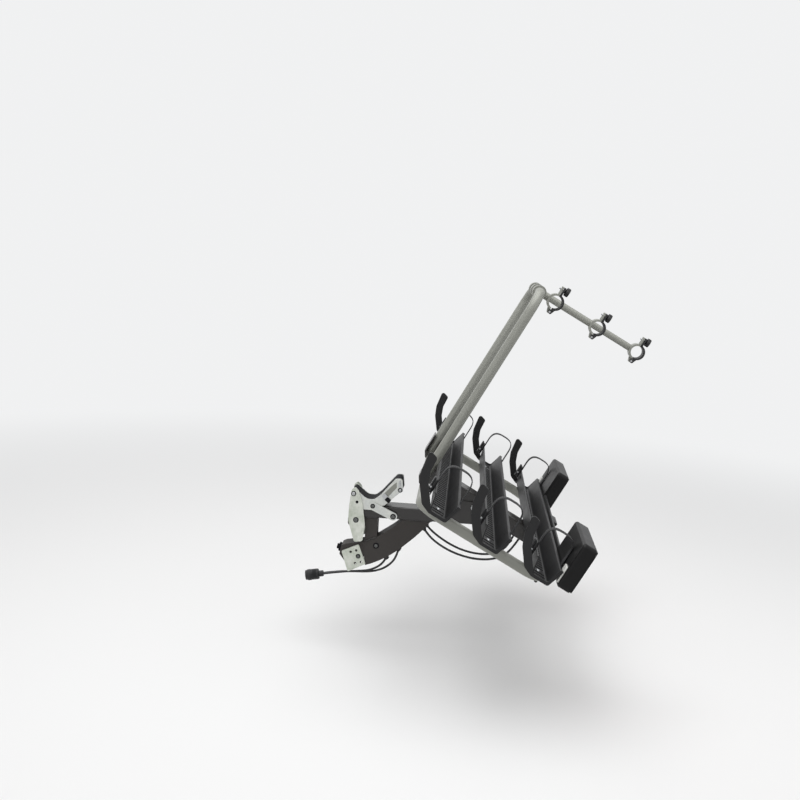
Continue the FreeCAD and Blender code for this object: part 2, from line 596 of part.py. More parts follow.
def lamp_board():
    """The lamp board behind the rear tray: panel, housings, lenses, blank plate and brackets."""
    front = deck_end() - size("rail_width") / 2 - size("board_gap")
    low, high, half = size("board_low"), size("board_high"), size("board_half")
    low_lamp, high_lamp = size("lamp_low"), size("lamp_high")
    panel = new_body("lamp_board_panel", TILTED)
    pad(panel, "XZ_Plane", -front,
        rounded([(-half, low, 12), (half, low, 12), (half, high, 12), (-half, high, 12)]),
        "Sizes.board_thick")
    back = front - size("board_thick")
    number = new_body("number_plate_blank", TILTED)
    plate_low = (low + high) / 2 - size("plate_tall") / 2
    long_half = size("plate_long") / 2
    brackets = []
    pad(number, "XZ_Plane", -back, rounded([(-long_half, plate_low, 8), (long_half, plate_low, 8),
                                           (long_half, plate_low + size("plate_tall"), 8),
                                           (-long_half, plate_low + size("plate_tall"), 8)]),
        "Sizes.plate_thick")
    for side, name in ((-1, "left"), (1, "right")):
        near, far = sorted((side * half, side * size("lamp_end")))
        housing = new_body("lamp_housing_" + name, TILTED)
        block = pad(housing, "XZ_Plane", -front, rounded([(near, low_lamp, 14), (far, low_lamp, 14),
                                                         (far, high_lamp, 14), (near, high_lamp, 14)]),
                    "Sizes.lamp_depth")
        fillet(housing, block, 8, lambda e: e.BoundBox.YMin > front - 0.01)
        lens = new_body("lamp_lens_" + name, TILTED)
        pad(lens, "XZ_Plane", -front + size("lamp_depth"),
            rounded([(near + 8, low_lamp + 8, 10), (far - 8, low_lamp + 8, 10), (far - 8, high_lamp - 8, 10),
                     (near + 8, high_lamp - 8, 10)]), "Sizes.lens_thick")
        bracket = new_body("board_bracket_" + name, TILTED, alone=False)
        brackets.append(bracket)
        rear = front + size("board_gap")
        top = size("deck_height") - 7
        bottom = size("deck_height") - size("rail_height") + 7
        pad(bracket, "YZ_Plane", side * size("bracket_at"),
            rounded([(rear, bottom), (rear, top), (front, top), (front, bottom)]), "Sizes.bracket_wide", True)
    grouped("board_brackets", brackets)


def cord(label, points, diameter):
    """A tube of straight runs joined by arcs, each arc as large as its two runs allow."""
    route = [Vector(*p) for p in points]
    edges, radii, last = [], [], route[0]
    for before, corner, after in zip(route, route[1:], route[2:]):
        back, ahead = (before - corner), (after - corner)
        turn = math.pi - back.getAngle(ahead)
        radius = 0.45 * min(back.Length, ahead.Length) / math.tan(turn / 2)
        reach = radius * math.tan(turn / 2)
        radii.append(radius / diameter)
        first = corner + back.normalize() * reach
        second = corner + ahead.normalize() * reach
        middle = corner + (back + ahead).normalize() * (radius / math.cos(turn / 2) - radius)
        edges += [Part.LineSegment(last, first).toShape(), Part.Arc(first, middle, second).toShape()]
        last = second
    edges.append(Part.LineSegment(last, route[-1]).toShape())
    path = Part.Wire(edges)
    ring = Part.Wire([Part.Circle(route[0], route[1] - route[0], diameter / 2).toShape()])
    tube = path.makePipeShell([ring], True, False)
    solid = Part.makeSolid(Part.Shell(tube.Faces)) if tube.ShapeType != "Solid" else tube
    expected = math.pi * diameter ** 2 / 4 * path.Length
    print(label, "length", round(path.Length, 1), "least radius", round(min(radii), 2),
          "diameters, volume ratio", round(solid.Volume / expected, 4))
    piece = document.addObject("Part::Feature", label)
    piece.Shape = solid
    piece.Label = label
    nodes[label] = piece


LAMP_LEAD_LEFT = [(-13, -226, 106), (-13, -238, 90), (-15, -260, 70), (-17, -298, 47), (-15, -346, 28),
                  (-13, -400, 18), (-14, -452, 22), (-15, -494, 42), (-13, -521, 78), (-13, -532, 98)]
LAMP_LEAD_RIGHT = [(13, -233, 112), (13, -246, 98), (12, -270, 80), (10, -306, 58), (12, -352, 38),
                   (14, -404, 28), (13, -452, 32), (12, -488, 52), (13, -508, 84), (13, -517.82, 105.48)]
VEHICLE_LEAD = [(-10, -145, 31), (-10, -140, 12), (-10, -131, -7), (-10, -116, -23), (-11, -97, -36),
                (-11, -73, -45), (-11, -44, -50), (-11, 0, -52), (-12, 48, -55), (-12, 96, -64)]
VEHICLE_LEAD_UPPER = [(-18, -106, 2), (-18, -99, -11), (-18, -89, -22), (-19, -76, -31), (-19, -60, -39),
                      (-19, -38, -45), (-19, 2, -49), (-20, 50, -55.375), (-20, 96, -64)]


def leads():
    """The lamp leads' loops under the platform and the lead to the vehicle, with its plug."""
    diameter = size("lead_dia")
    cord("lamp_lead_left", LAMP_LEAD_LEFT, diameter)
    cord("lamp_lead_right", LAMP_LEAD_RIGHT, diameter)
    cord("vehicle_lead", VEHICLE_LEAD, diameter)
    cord("vehicle_lead_upper", VEHICLE_LEAD_UPPER, diameter)
    tail, end = Vector(-16, 48, -55), Vector(-16, 96, -64)
    along = Rotation(Vector(0, 0, 1), end - tail)
    forward = (end - tail).normalize()
    collar = round_bar("plug_collar", end, along, "10", "18")
    barrel = round_bar("plug_barrel", end + forward * 14, along, "18", "44")
    joined("lead_plug", [collar, barrel])
    glands = []
    for points in (VEHICLE_LEAD, VEHICLE_LEAD_UPPER, LAMP_LEAD_LEFT, LAMP_LEAD_RIGHT):
        start, ahead = Vector(*points[0]), Vector(*points[1])
        leave = Rotation(Vector(0, 0, 1), (start - ahead).normalize())
        glands.append(round_bar(f"gland_{len(glands)}", start, leave, "8", "9"))
    grouped("lead_glands", glands)


coupling()
cheeks()
clamp_linkage()
tilt_pivot()
deck()
trays()
hoop()
for index, arm_name in enumerate(ARM_NAMES):
    holder(index, arm_name)
lamp_board()
leads()
document.recompute()

for thing in document.Objects:
    bad = {"Invalid", "Error"} & set(thing.State)
    if bad:
        raise RuntimeError(f"{thing.Label} is {bad}")
os.makedirs("parts", exist_ok=True)
for label, thing in nodes.items():
    shape = thing.Shape
    if shape.isNull() or not shape.isValid() or shape.Volume <= 0:
        raise RuntimeError(f"{label} has no valid shape")
    shape.exportStep(f"parts/{label}.step")
print(len(nodes), "nodes")
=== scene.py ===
"""Platform bike rack for a tow ball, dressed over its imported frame.

Finishes for the CAD nodes, and modelled straps, buckles, knobs, bolts, lamps, leads and plug.
Lengths are in metres in the row frame: X to the vehicle's right, Y to its front, Z up, with
the tow ball's centre at the origin. The platform's pieces are drawn level and then tilted.
"""
import bmesh
import bpy
import json
import math
import numpy as np
from mathutils import Matrix, Vector


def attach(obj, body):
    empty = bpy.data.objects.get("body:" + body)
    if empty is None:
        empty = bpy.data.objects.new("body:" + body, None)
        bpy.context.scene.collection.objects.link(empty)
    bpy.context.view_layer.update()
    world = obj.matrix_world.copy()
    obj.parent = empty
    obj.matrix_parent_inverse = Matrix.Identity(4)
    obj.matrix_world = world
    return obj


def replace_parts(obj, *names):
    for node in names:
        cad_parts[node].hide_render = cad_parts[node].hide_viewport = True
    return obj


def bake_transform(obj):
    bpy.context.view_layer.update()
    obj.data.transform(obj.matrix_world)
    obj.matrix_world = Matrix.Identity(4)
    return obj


bl_info = {
    "name": "Platform Bike Rack",
    "version": (1, 0, 0),
    "blender": (4, 5, 0),
    "location": "3D View > Sidebar > Bike Rack",
    "description": "Finishes and fittings of a three-bike platform rack on a tow ball",
    "category": "Add Mesh",
}

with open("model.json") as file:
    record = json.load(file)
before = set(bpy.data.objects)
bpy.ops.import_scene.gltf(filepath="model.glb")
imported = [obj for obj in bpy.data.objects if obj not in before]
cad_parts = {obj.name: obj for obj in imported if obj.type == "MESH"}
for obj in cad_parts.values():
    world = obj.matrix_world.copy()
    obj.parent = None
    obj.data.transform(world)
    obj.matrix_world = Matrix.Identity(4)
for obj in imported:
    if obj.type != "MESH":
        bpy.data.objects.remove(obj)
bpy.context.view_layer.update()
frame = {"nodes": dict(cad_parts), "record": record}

SLOT_OF = {part["node"]: part["material_slot"] for part in frame["record"]["subparts"]}
MM = 0.001
TILT_PIN = np.array([0.0, -0.383, 0.195])
TILT = math.radians(28.5)
DECK_TOP = 0.231
TRAY_LINES = (-0.240, -0.403, -0.566)
STRAP_AT = 0.505
TRAY_BOLT_AT = 0.5
HOOP_BAR = 0.881
ARMS = ("short", "middle", "long")
ARM_PITCH = 0.105
SQUARE_NODES = {
    "coupling": ("main_beam", "arch_beam", "coupling_post", "hook_bracket", "pivot_ear_left",
                 "pivot_ear_right", "ball_socket"),
    "platform": ("deck_beam", "lamp_board_panel", "number_plate_blank", "board_brackets", "hoop_feet")}
OWN_FINISH = {
    "arch_beam": "dull_paint", "ball_socket": "dull_paint", "coupling_post": "dull_paint",
    "hook_bracket": "dull_paint", "lever_plates": "zinc_bright", "link_plates": "zinc_bright"}
ROUNDING = 0.0007
SHARP = math.radians(35)
GROUND = -0.265
TURN = 2 * math.pi
BACKDROP = (0.875, 0.88, 0.885)

LAMP_LEAD_LEFT = [
    (-0.013, -0.226, 0.106), (-0.013, -0.238, 0.090), (-0.015, -0.260, 0.070), (-0.017, -0.298, 0.047),
    (-0.015, -0.346, 0.028), (-0.013, -0.400, 0.018), (-0.014, -0.452, 0.022), (-0.015, -0.494, 0.042),
    (-0.013, -0.521, 0.078), (-0.013, -0.532, 0.098)]
LAMP_LEAD_RIGHT = [
    (0.013, -0.233, 0.112), (0.013, -0.246, 0.098), (0.012, -0.270, 0.080), (0.010, -0.306, 0.058),
    (0.012, -0.352, 0.038), (0.014, -0.404, 0.028), (0.013, -0.452, 0.032), (0.012, -0.488, 0.052),
    (0.013, -0.508, 0.084), (0.013, -0.51782, 0.10548)]
VEHICLE_LEAD = [
    (-0.010, -0.145, 0.031), (-0.010, -0.140, 0.012), (-0.010, -0.131, -0.007), (-0.010, -0.116, -0.023),
    (-0.011, -0.097, -0.036), (-0.011, -0.073, -0.045), (-0.011, -0.044, -0.050), (-0.011, 0.0, -0.052),
    (-0.012, 0.048, -0.055), (-0.012, 0.096, -0.064)]
VEHICLE_LEAD_UPPER = [
    (-0.018, -0.106, 0.002), (-0.018, -0.099, -0.011), (-0.018, -0.089, -0.022), (-0.019, -0.076, -0.031),
    (-0.019, -0.060, -0.039), (-0.019, -0.038, -0.045), (-0.019, 0.002, -0.049), (-0.020, 0.050, -0.055375),
    (-0.020, 0.096, -0.064)]
LEVER_EDGE = [
    (0.0125, 0.2205), (0.0100, 0.2270), (0.0055, 0.2300), (-0.0010, 0.2278), (-0.0090, 0.2205),
    (-0.0210, 0.2102), (-0.0330, 0.2018), (-0.0420, 0.1992), (-0.0540, 0.1990), (-0.0640, 0.2015),
    (-0.0760, 0.2120), (-0.1000, 0.2400), (-0.1230, 0.2665), (-0.1300, 0.2712), (-0.1390, 0.2720),
    (-0.1445, 0.2695), (-0.1470, 0.2630), (-0.1485, 0.2520), (-0.1505, 0.2380)]
PLUG_BACK = (-0.016, 0.096, -0.064)
PLUG_AXIS = (0.0, 0.048, -0.009)
PLUNGER = (-0.305, 0.206)
# In millimetres: Y, Z, where the shank starts and ends, and the radii of the near-black ring of painted shade
# round the head, of the head and of the shank.
FASTENERS = {
    "hook_pivot": (-5, 130, 0, 45.4, 9.0, 6.0, 6.0), "link_stud": (-124, 149, 35, 45.6, 9.2, 5.6, 6.0),
    "cheek_screw": (-17, 7, 34, 35.0, 7.6, 4.4, 4.0), "arch_screw": (-73, 45, 29, 30.0, 9.6, 5.2, 4.0),
    "lever_rivet": (6, 216, 0, 45.4, 8.2, 5.2, 5.0), "link_rivet": (-57, 179, 35.4, 45.4, 7.6, 4.4, 5.0),
    "handle_rivet": (-142, 236, 30, 40.0, 7.4, 4.2, 3.0)}
# Middle, half sizes and edge radius of a block, its turn in degrees, and its finish.
HANDLE_BLOCKS = (
    ((0.0415, -0.0950, 0.2125), (0.0020, 0.0076, 0.0072), 0.0009, 44, "bright_steel"),
    # Painted shade: this near-black block stands for the shade under the sleeve.
    ((0.0420, -0.1045, 0.2012), (0.0026, 0.0086, 0.0066), 0.0009, 40, "lever_web_black"),
    ((0.0412, -0.1395, 0.2570), (0.0014, 0.0036, 0.0110), 0.0008, 0, "bright_steel"))
# Three lens sections, a reflector and four rims: middle, half sizes, edge radius and the finish's number.
LAMP_BLOCKS = (
    ((0.3650, -0.6535, 0.3135), (0.0270, 0.0035, 0.0612), 0.0028, 2),
    ((0.4460, -0.6535, 0.3135), (0.0520, 0.0035, 0.0612), 0.0028, 0),
    ((0.5410, -0.6535, 0.3135), (0.0410, 0.0035, 0.0612), 0.0028, 1),
    ((0.4460, -0.6580, 0.2795), (0.0400, 0.0016, 0.0180), 0.0013, 0),
    ((0.4600, -0.6530, 0.2495), (0.1240, 0.0048, 0.0022), 0.0016, 3),
    ((0.4600, -0.6530, 0.3775), (0.1240, 0.0048, 0.0022), 0.0016, 3),
    ((0.3355, -0.6530, 0.3135), (0.0022, 0.0048, 0.0640), 0.0016, 3),
    ((0.5845, -0.6530, 0.3135), (0.0022, 0.0048, 0.0640), 0.0016, 3))


class Signal:
    """A socket of a material's nodes. Arithmetic on it adds the Math nodes that work it out."""

    def __init__(self, finish, socket):
        self.finish = finish
        self.socket = socket

    def _math(self, operation, first, second):
        return self.finish.add("ShaderNodeMath", {"operation": operation}, {0: first, 1: second})

    def __add__(self, other):
        return self._math("ADD", self, other)

    def __sub__(self, other):
        return self._math("SUBTRACT", self, other)

    def __mul__(self, other):
        return self._math("MULTIPLY", self, other)

    def beside(self, output):
        """Another output of the same node."""
        return Signal(self.finish, self.socket.node.outputs[output])

    def sine(self):
        return self._math("SINE", self, 0.0)

    def over(self, level):
        """1 where the signal is above the level, and 0 elsewhere."""
        return self._math("GREATER_THAN", self, level)

    __radd__ = __add__


class Finish:
    """A material of one shaded surface, built by expressions on its signals."""

    def __init__(self, name):
        self.material = bpy.data.materials.new("finish_" + name)
        self.material.use_nodes = True
        self.nodes = self.material.node_tree.nodes
        self.links = self.material.node_tree.links
        self.nodes.clear()
        self.where = self.add("ShaderNodeTexCoord", {}, {}, "Object")
        self.surface = self.nodes.new("ShaderNodeBsdfPrincipled")
        output = self.nodes.new("ShaderNodeOutputMaterial")
        self.links.new(self.surface.outputs[0], output.inputs["Surface"])

    def add(self, kind, settings, sockets, output=0):
        """Adds a node, its settings first and then the values or links of its sockets."""
        node = self.nodes.new(kind)
        for key, value in settings.items():
            setattr(node, key, value)
        self.feed(node, sockets)
        return Signal(self, node.outputs[output])

    def feed(self, node, sockets):
        """Links each signal to its socket and writes each plain value on it."""
        for key, value in sockets.items():
            if isinstance(value, Signal):
                self.links.new(value.socket, node.inputs[key])
            else:
                node.inputs[key].default_value = value

    def stretched(self, scale, turn=(0.0, 0.0, 0.0)):
        """The object's coordinates, turned and then scaled by axis."""
        return self.add("ShaderNodeMapping", {}, {"Vector": self.where, "Rotation": turn, "Scale": scale})

    def cloud(self, scale, detail, rough, where=None):
        """Soft noise from 0 to 1 at this many lumps a metre."""
        return self.add("ShaderNodeTexNoise", {}, {"Vector": where or self.where, "Scale": scale,
                                                   "Detail": detail, "Roughness": rough})

    def cells(self, scale, feature="F1"):
        """The distance to the nearest cell point, or to the cell's edge."""
        return self.add("ShaderNodeTexVoronoi", {"feature": feature}, {"Vector": self.where, "Scale": scale})

    def mix(self, share, first, second):
        """The first colour, going over to the second by the share."""
        def colour(value):
            return value if isinstance(value, Signal) else (*value, 1.0)
        sockets = {0: share, 6: colour(first), 7: colour(second)}
        return self.add("ShaderNodeMix", {"data_type": "RGBA"}, sockets, 2)

    def dent(self, height, depth, strength):
        """The surface's normal, raised by the height times the depth in metres."""
        return self.add("ShaderNodeBump", {}, {"Height": height, "Distance": depth, "Strength": strength})

    def shade(self, **sockets):
        """Feeds the shaded surface and gives the material."""
        named = {key.replace("_", " ").title().replace("Ior", "IOR"): value for key, value in sockets.items()}
        for key, value in named.items():
            if isinstance(value, tuple) and len(value) == 3:
                named[key] = (*value, 1.0)
        self.feed(self.surface, named)
        return self.material


def darker(colour, share):
    """The colour times a share."""
    return tuple(channel * share for channel in colour)


def powder_coat(name, colour, roughness, chips=True, gloss=0.5):
    """Satin powder coat: orange peel, faint dust and a few light scratches."""
    finish = Finish(name)
    dust = finish.cloud(7.0, 4.0, 0.6)
    tone = finish.mix(dust, darker(colour, 0.86), darker(colour, 1.14))
    if chips:
        rubbed = finish.cloud(1.0, 6.0, 0.7, finish.stretched((14.0, 160.0, 160.0)))
        tone = finish.mix(rubbed.over(0.715) * 0.30, tone, darker(colour, 2.4))
    peel = finish.cloud(620.0, 1.0, 0.4)
    return finish.shade(base_color=tone, roughness=roughness + (dust - 0.5) * 0.16, specular_ior_level=gloss,
                        normal=finish.dent(peel, 0.00012, 0.6))


def zinc_plating(name, colour, tint, roughness):
    """Passivated zinc: two tints in soft clouds, rolling marks and dull spots."""
    finish = Finish(name)
    clouds = finish.cloud(34.0, 5.0, 0.60)
    rolled = finish.cloud(1.0, 3.0, 0.6, finish.stretched((60.0, 900.0, 60.0)))
    spots = finish.cells(130.0)
    tone = finish.mix((clouds - 0.5) * 2.6 + 0.5, colour, tint)
    tone = finish.mix((rolled - 0.5) * 0.5 + 0.12, tone, darker(colour, 0.72))
    return finish.shade(base_color=tone, metallic=0.70,
                        roughness=roughness + (clouds - 0.5) * 0.26 - spots * 0.06,
                        normal=finish.dent(rolled + clouds * 0.4, 0.00006, 0.5))


def bright_metal(name, colour, roughness):
    """Turned and plated steel with fine marks."""
    finish = Finish(name)
    marks = finish.cloud(1.0, 2.0, 0.5, finish.stretched((1400.0, 260.0, 260.0)))
    haze = finish.cloud(40.0, 3.0, 0.5)
    tone = finish.mix(haze, darker(colour, 0.82), colour)
    return finish.shade(base_color=tone, metallic=0.9, roughness=roughness + (marks - 0.5) * 0.18,
                        normal=finish.dent(marks, 0.00003, 0.5))


def satin_aluminium(name, colour, roughness):
    """Painted aluminium tube: fine specks in the paint and some grime."""
    finish = Finish(name)
    specks = finish.cloud(420.0, 2.0, 0.5)
    grime = finish.cloud(11.0, 5.0, 0.6)
    tone = finish.mix(grime, darker(colour, 0.84), darker(colour, 1.14))
    tone = finish.mix(specks * 0.25, tone, darker(colour, 0.86))
    return finish.shade(base_color=tone, metallic=0.20, roughness=roughness + (grime - 0.5) * 0.2,
                        normal=finish.dent(specks, 0.00004, 0.4))


def moulded_plastic(name, colour, roughness, grain, depth, gloss=0.4):
    """Moulded plastic with a leathery grain and slightly paler rubbed areas."""
    finish = Finish(name)
    pebbles = finish.cells(grain)
    rubbed = finish.cloud(13.0, 4.0, 0.6)
    tone = finish.mix(rubbed, darker(colour, 0.85), darker(colour, 1.25))
    return finish.shade(base_color=tone, roughness=roughness + (rubbed - 0.5) * 0.18,
                        specular_ior_level=gloss, normal=finish.dent(pebbles, depth, 0.7))


def strap_rubber(name, colour):
    """Soft rubber with a dusty bloom and a dull surface."""
    finish = Finish(name)
    bloom = finish.cloud(30.0, 5.0, 0.65)
    pores = finish.cloud(900.0, 2.0, 0.6)
    tone = finish.mix(bloom, darker(colour, 0.8), darker(colour, 1.7))
    return finish.shade(base_color=tone, roughness=0.66 + bloom * 0.16,
                        normal=finish.dent(pores, 0.00008, 0.7))


def cable_sheath(name, colour):
    """A soft plastic sheath with a faint bloom."""
    finish = Finish(name)
    bloom = finish.cloud(60.0, 4.0, 0.6)
    pores = finish.cloud(1500.0, 2.0, 0.5)
    tone = finish.mix(bloom, darker(colour, 0.75), darker(colour, 1.5))
    return finish.shade(base_color=tone, roughness=0.42 + bloom * 0.14,
                        normal=finish.dent(pores, 0.00005, 0.6))


def lamp_lens(name, colour, prism):
    """A clear-coated lens whose small prisms show as a square grid."""
    finish = Finish(name)
    place = finish.stretched((prism, prism, prism), (TILT, 0.0, 0.0))
    across = finish.add("ShaderNodeSeparateXYZ", {}, {0: place})
    columns, rows = across.sine(), across.beside(2).sine()
    grid = columns * columns + rows * rows
    tone = finish.mix(grid * 0.5, darker(colour, 0.55), colour)
    return finish.shade(base_color=tone, roughness=0.20 + grid * 0.06, specular_ior_level=0.25,
                        coat_weight=0.3, coat_roughness=0.05, normal=finish.dent(grid, 0.0004, 0.6))


def reflective_sheet(name, colour):
    """White retroreflective sheeting with a fine cell pattern."""
    finish = Finish(name)
    cell = finish.cells(330.0, "DISTANCE_TO_EDGE")
    dust = finish.cloud(9.0, 4.0, 0.6)
    tone = finish.mix(cell.over(0.07), darker(colour, 0.84), colour)
    tone = finish.mix(dust * 0.3, tone, darker(colour, 0.7))
    return finish.shade(base_color=tone, roughness=0.3 + dust * 0.12, normal=finish.dent(cell, 0.00004, 0.5))


def tilted(points):
    """Turns level platform points about the tilt pin by the tilt angle."""
    points = np.asarray(points, float) - TILT_PIN
    across, y, z = np.moveaxis(points, -1, 0)
    cos, sin = math.cos(TILT), math.sin(TILT)
    return np.stack([across, y * cos - z * sin, y * sin + z * cos], -1) + TILT_PIN


def as_is(points):
    """Points that are already in the row frame."""
    return np.asarray(points, float)


def quads(rows, columns):
    """Corner numbers of the quads between neighbours of a grid whose last column joins the first."""
    row, column = np.meshgrid(np.arange(rows - 1), np.arange(columns), indexing="ij")
    ahead = (column + 1) % columns
    corners = [row * columns + column, row * columns + ahead,
               (row + 1) * columns + ahead, (row + 1) * columns + column]
    return np.stack([c.ravel() for c in corners], -1)


def skin(loops):
    """A closed shell from a stack of equal closed loops: quads between them and one face on each end."""
    loops = np.asarray(loops, float)
    rows, columns = loops.shape[:2]
    faces = quads(rows, columns).tolist()
    faces.append(list(range(columns))[::-1])
    faces.append(list(range((rows - 1) * columns, rows * columns)))
    return loops.reshape(-1, 3), faces


def placed(name, data):
    """A new object of this data in the scene."""
    thing = bpy.data.objects.new(name, data)
    bpy.context.scene.collection.objects.link(thing)
    return thing


def piece(name, shells, body, *finishes, slot=None, pick=None, angle=32.0, ride=True):
    """One object on a CAD body from closed shells.

    Pick holds the number of each shell's finish. The slot argument is not used.
    """
    points, faces, slots, start = [], [], [], 0
    for number, (shell_points, shell_faces) in enumerate(shells):
        points.append(shell_points)
        faces += [[corner + start for corner in face] for face in shell_faces]
        slots += [pick[number] if pick else 0] * len(shell_faces)
        start += len(shell_points)
    mesh = bpy.data.meshes.new(name)
    mesh.from_pydata(np.concatenate(points).tolist(), [], faces)
    mesh.polygons.foreach_set("material_index", np.array(slots, np.int32))
    mesh.polygons.foreach_set("use_smooth", np.ones(len(faces), bool))
    mesh.update()
    for finish in finishes:
        mesh.materials.append(finish_of(finish))
    thing = placed(name, mesh)
    outwards(mesh)
    mesh.set_sharp_from_angle(angle=math.radians(angle))
    if ride:
        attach(thing, body)
    return thing


def outwards(mesh, source=None):
    """Turns each shell's faces outwards, or makes the mesh a merged copy of a source and turns those."""
    work = bmesh.new()
    work.from_mesh(source or mesh)
    if source:
        bmesh.ops.remove_doubles(work, verts=work.verts, dist=1e-6)
    bmesh.ops.recalc_face_normals(work, faces=work.faces)
    work.to_mesh(mesh)
    work.free()


def unit(rows):
    """Each row at length 1."""
    return rows / np.linalg.norm(rows, axis=-1, keepdims=True)


def frame_of(axis):
    """The axis at length 1, and two unit vectors square to it and to each other."""
    axis = unit(np.asarray(axis, float))
    aid = np.array([0.0, 0.0, 1.0]) if abs(axis[2]) < 0.9 else np.array([1.0, 0.0, 0.0])
    first = unit(np.cross(aid, axis))
    return axis, first, np.cross(axis, first)


def scaled(profile):
    """A profile of (radius, height) pairs in millimetres, as metres."""
    return [(radius * MM, height * MM) for radius, height in profile]


def turned(centre, axis, profile, shape=None, turns=32):
    """A turned shell: a profile of (radius, height) carried round the axis.

    The radius at angle a and height h is the profile's radius times shape(a, h), if given.
    """
    axis, first, second = frame_of(axis)
    radius, height = (np.array(column)[:, None] for column in zip(*profile))
    angle = np.linspace(0, TURN, turns, endpoint=False)[None, :]
    reach = radius * (shape(angle, height) if shape else 1.0)
    loops = (np.asarray(centre) + height[..., None] * axis
             + (reach * np.cos(angle))[..., None] * first + (reach * np.sin(angle))[..., None] * second)
    return skin(loops)


def hexagon(angle, height):
    """1 at a hexagon's flats and 1.155 at its corners."""
    sector = TURN / 6
    return 1 / np.cos((angle + sector / 2) % sector - sector / 2)


def between(low, high, shape):
    """The shape between two heights, and round elsewhere."""
    return lambda angle, height: np.where((height > low) & (height < high), shape(angle, height), 1.0)


def block(centre, half, edge, turn=as_is):
    """A box with rounded edges: superellipse loops along X whose size falls off at both ends.

    A loop at place s has its half sizes less edge * (1 - sqrt(1 - t^2)), with t from 0 to 1 over
    the last edge length. Its outline is |y|^n + |z|^n = 1 with n = 8.
    """
    centre, half = np.asarray(centre, float), np.asarray(half, float)
    fall = np.sin(np.linspace(0, math.pi / 2, 5))
    inset = edge * (1 - np.cos(np.linspace(0, math.pi / 2, 5)))
    place = np.concatenate([-half[0] + edge * (1 - fall[::-1]), half[0] - edge * (1 - fall)])
    inset = np.concatenate([inset[::-1], inset])
    angle = np.linspace(0, TURN, 40, endpoint=False)
    power = 2 / 8
    outline_y = np.sign(np.cos(angle)) * np.abs(np.cos(angle)) ** power
    outline_z = np.sign(np.sin(angle)) * np.abs(np.sin(angle)) ** power
    loops = np.stack([np.broadcast_to(place[:, None], (len(place), len(angle))),
                      (half[1] - inset)[:, None] * outline_y, (half[2] - inset)[:, None] * outline_z], -1)
    return skin(turn(loops + centre))


def evenly(points, steps):
    """Distances at even steps along a broken line in a plane, and the points there."""
    run = np.concatenate([[0], np.cumsum(np.linalg.norm(np.diff(points, axis=0), axis=1))])
    place = np.linspace(0, run[-1], steps)
    return place, np.stack([np.interp(place, run, points[:, k]) for k in (0, 1)], -1)


def tube_along(path, radius, turns):
    """A round tube along points: rings square to the path, each started square to the X axis."""
    ahead = unit(np.gradient(path, axis=0))
    side = unit(np.cross(ahead, [1.0, 0.0, 0.0]))
    other = np.cross(ahead, side)
    angle = np.linspace(0, TURN, turns, endpoint=False)
    loops = (path[:, None, :] + radius * np.cos(angle)[None, :, None] * side[:, None, :]
             + radius * np.sin(angle)[None, :, None] * other[:, None, :])
    return skin(loops)


def bead(start, end, radius, ripple=0.0035):
    """A weld bead: a tube whose radius rises and falls by a tenth at each ripple, with rounded ends."""
    start, end = np.asarray(start, float), np.asarray(end, float)
    length = np.linalg.norm(end - start)
    steps = max(int(length / ripple * 5), 8)
    place = np.linspace(0, 1, steps)
    width = radius * (1 + 0.10 * np.abs(np.sin(place * length / ripple * math.pi)))
    tip = np.clip(np.minimum(place, 1 - place) * length / radius, 0, 1)
    width = width * np.sqrt(np.clip(1 - (1 - tip) ** 2, 0.02, 1))
    axis, first, second = frame_of(end - start)
    angle = np.linspace(0, TURN, 10, endpoint=False)
    path = start + place[:, None] * (end - start)
    loops = (path[:, None] + width[:, None, None] * (np.cos(angle)[None, :, None] * first
                                                     + np.sin(angle)[None, :, None] * second))
    return skin(loops)


def colour_prop(name, description, default):
    """A colour property with this default."""
    return bpy.props.FloatVectorProperty(name=name, description=description, default=default,
                                         subtype="COLOR", size=3, min=0.0, max=1.0)


def length_prop(name, description, default):
    """A length property with this default, in metres."""
    return bpy.props.FloatProperty(name=name, description=description, default=default,
                                   subtype="DISTANCE", unit="LENGTH", min=0.0, precision=4)


class RackColours(bpy.types.PropertyGroup):
    """The finishes' base colours."""

    beam: colour_prop("Beam paint", "Powder coat of the beams", (0.0240, 0.0220, 0.0208))
    zinc: colour_prop("Zinc", "Passivated zinc of the coupling's plates", (0.46, 0.50, 0.42))
    zinc_tint: colour_prop("Zinc tint", "Second tint of the zinc", (0.72, 0.73, 0.68))
    zinc_bright: colour_prop("Bright zinc", "Newer zinc of the lever and the link", (0.53, 0.55, 0.545))
    # This colour also paints shade: the near-black rings round the bolt heads and the block under the
    # handle's sleeve.
    web: colour_prop("Lever web", "Paint of the lever's top web", (0.013, 0.013, 0.015))
    steel: colour_prop("Steel", "Plated pins, blocks and screws", (0.50, 0.51, 0.52))
    bolt: colour_prop("Bolt", "Dull steel of the large bolts' heads", (0.150, 0.152, 0.150))
    rail: colour_prop("Rail", "Painted rail loop and hoop", (0.262, 0.266, 0.238))
    tray: colour_prop("Tray", "Black wheel trays", (0.0165, 0.0165, 0.0172))
    rubber: colour_prop("Rubber", "Wheel straps", (0.012, 0.012, 0.013))
    grip: colour_prop("Grip", "Knobs, buckles and plug", (0.012, 0.012, 0.013))
    lamp: colour_prop("Lamp housing", "Moulded lamp housings", (0.009, 0.009, 0.0092))
    lens: colour_prop("Lens", "Red lenses", (0.46, 0.004, 0.006))
    plate: colour_prop("Blank plate", "Reflective blank of the number plate", (0.78, 0.78, 0.75))
    cable: colour_prop("Cable", "Sheath of the leads", (0.013, 0.013, 0.014))


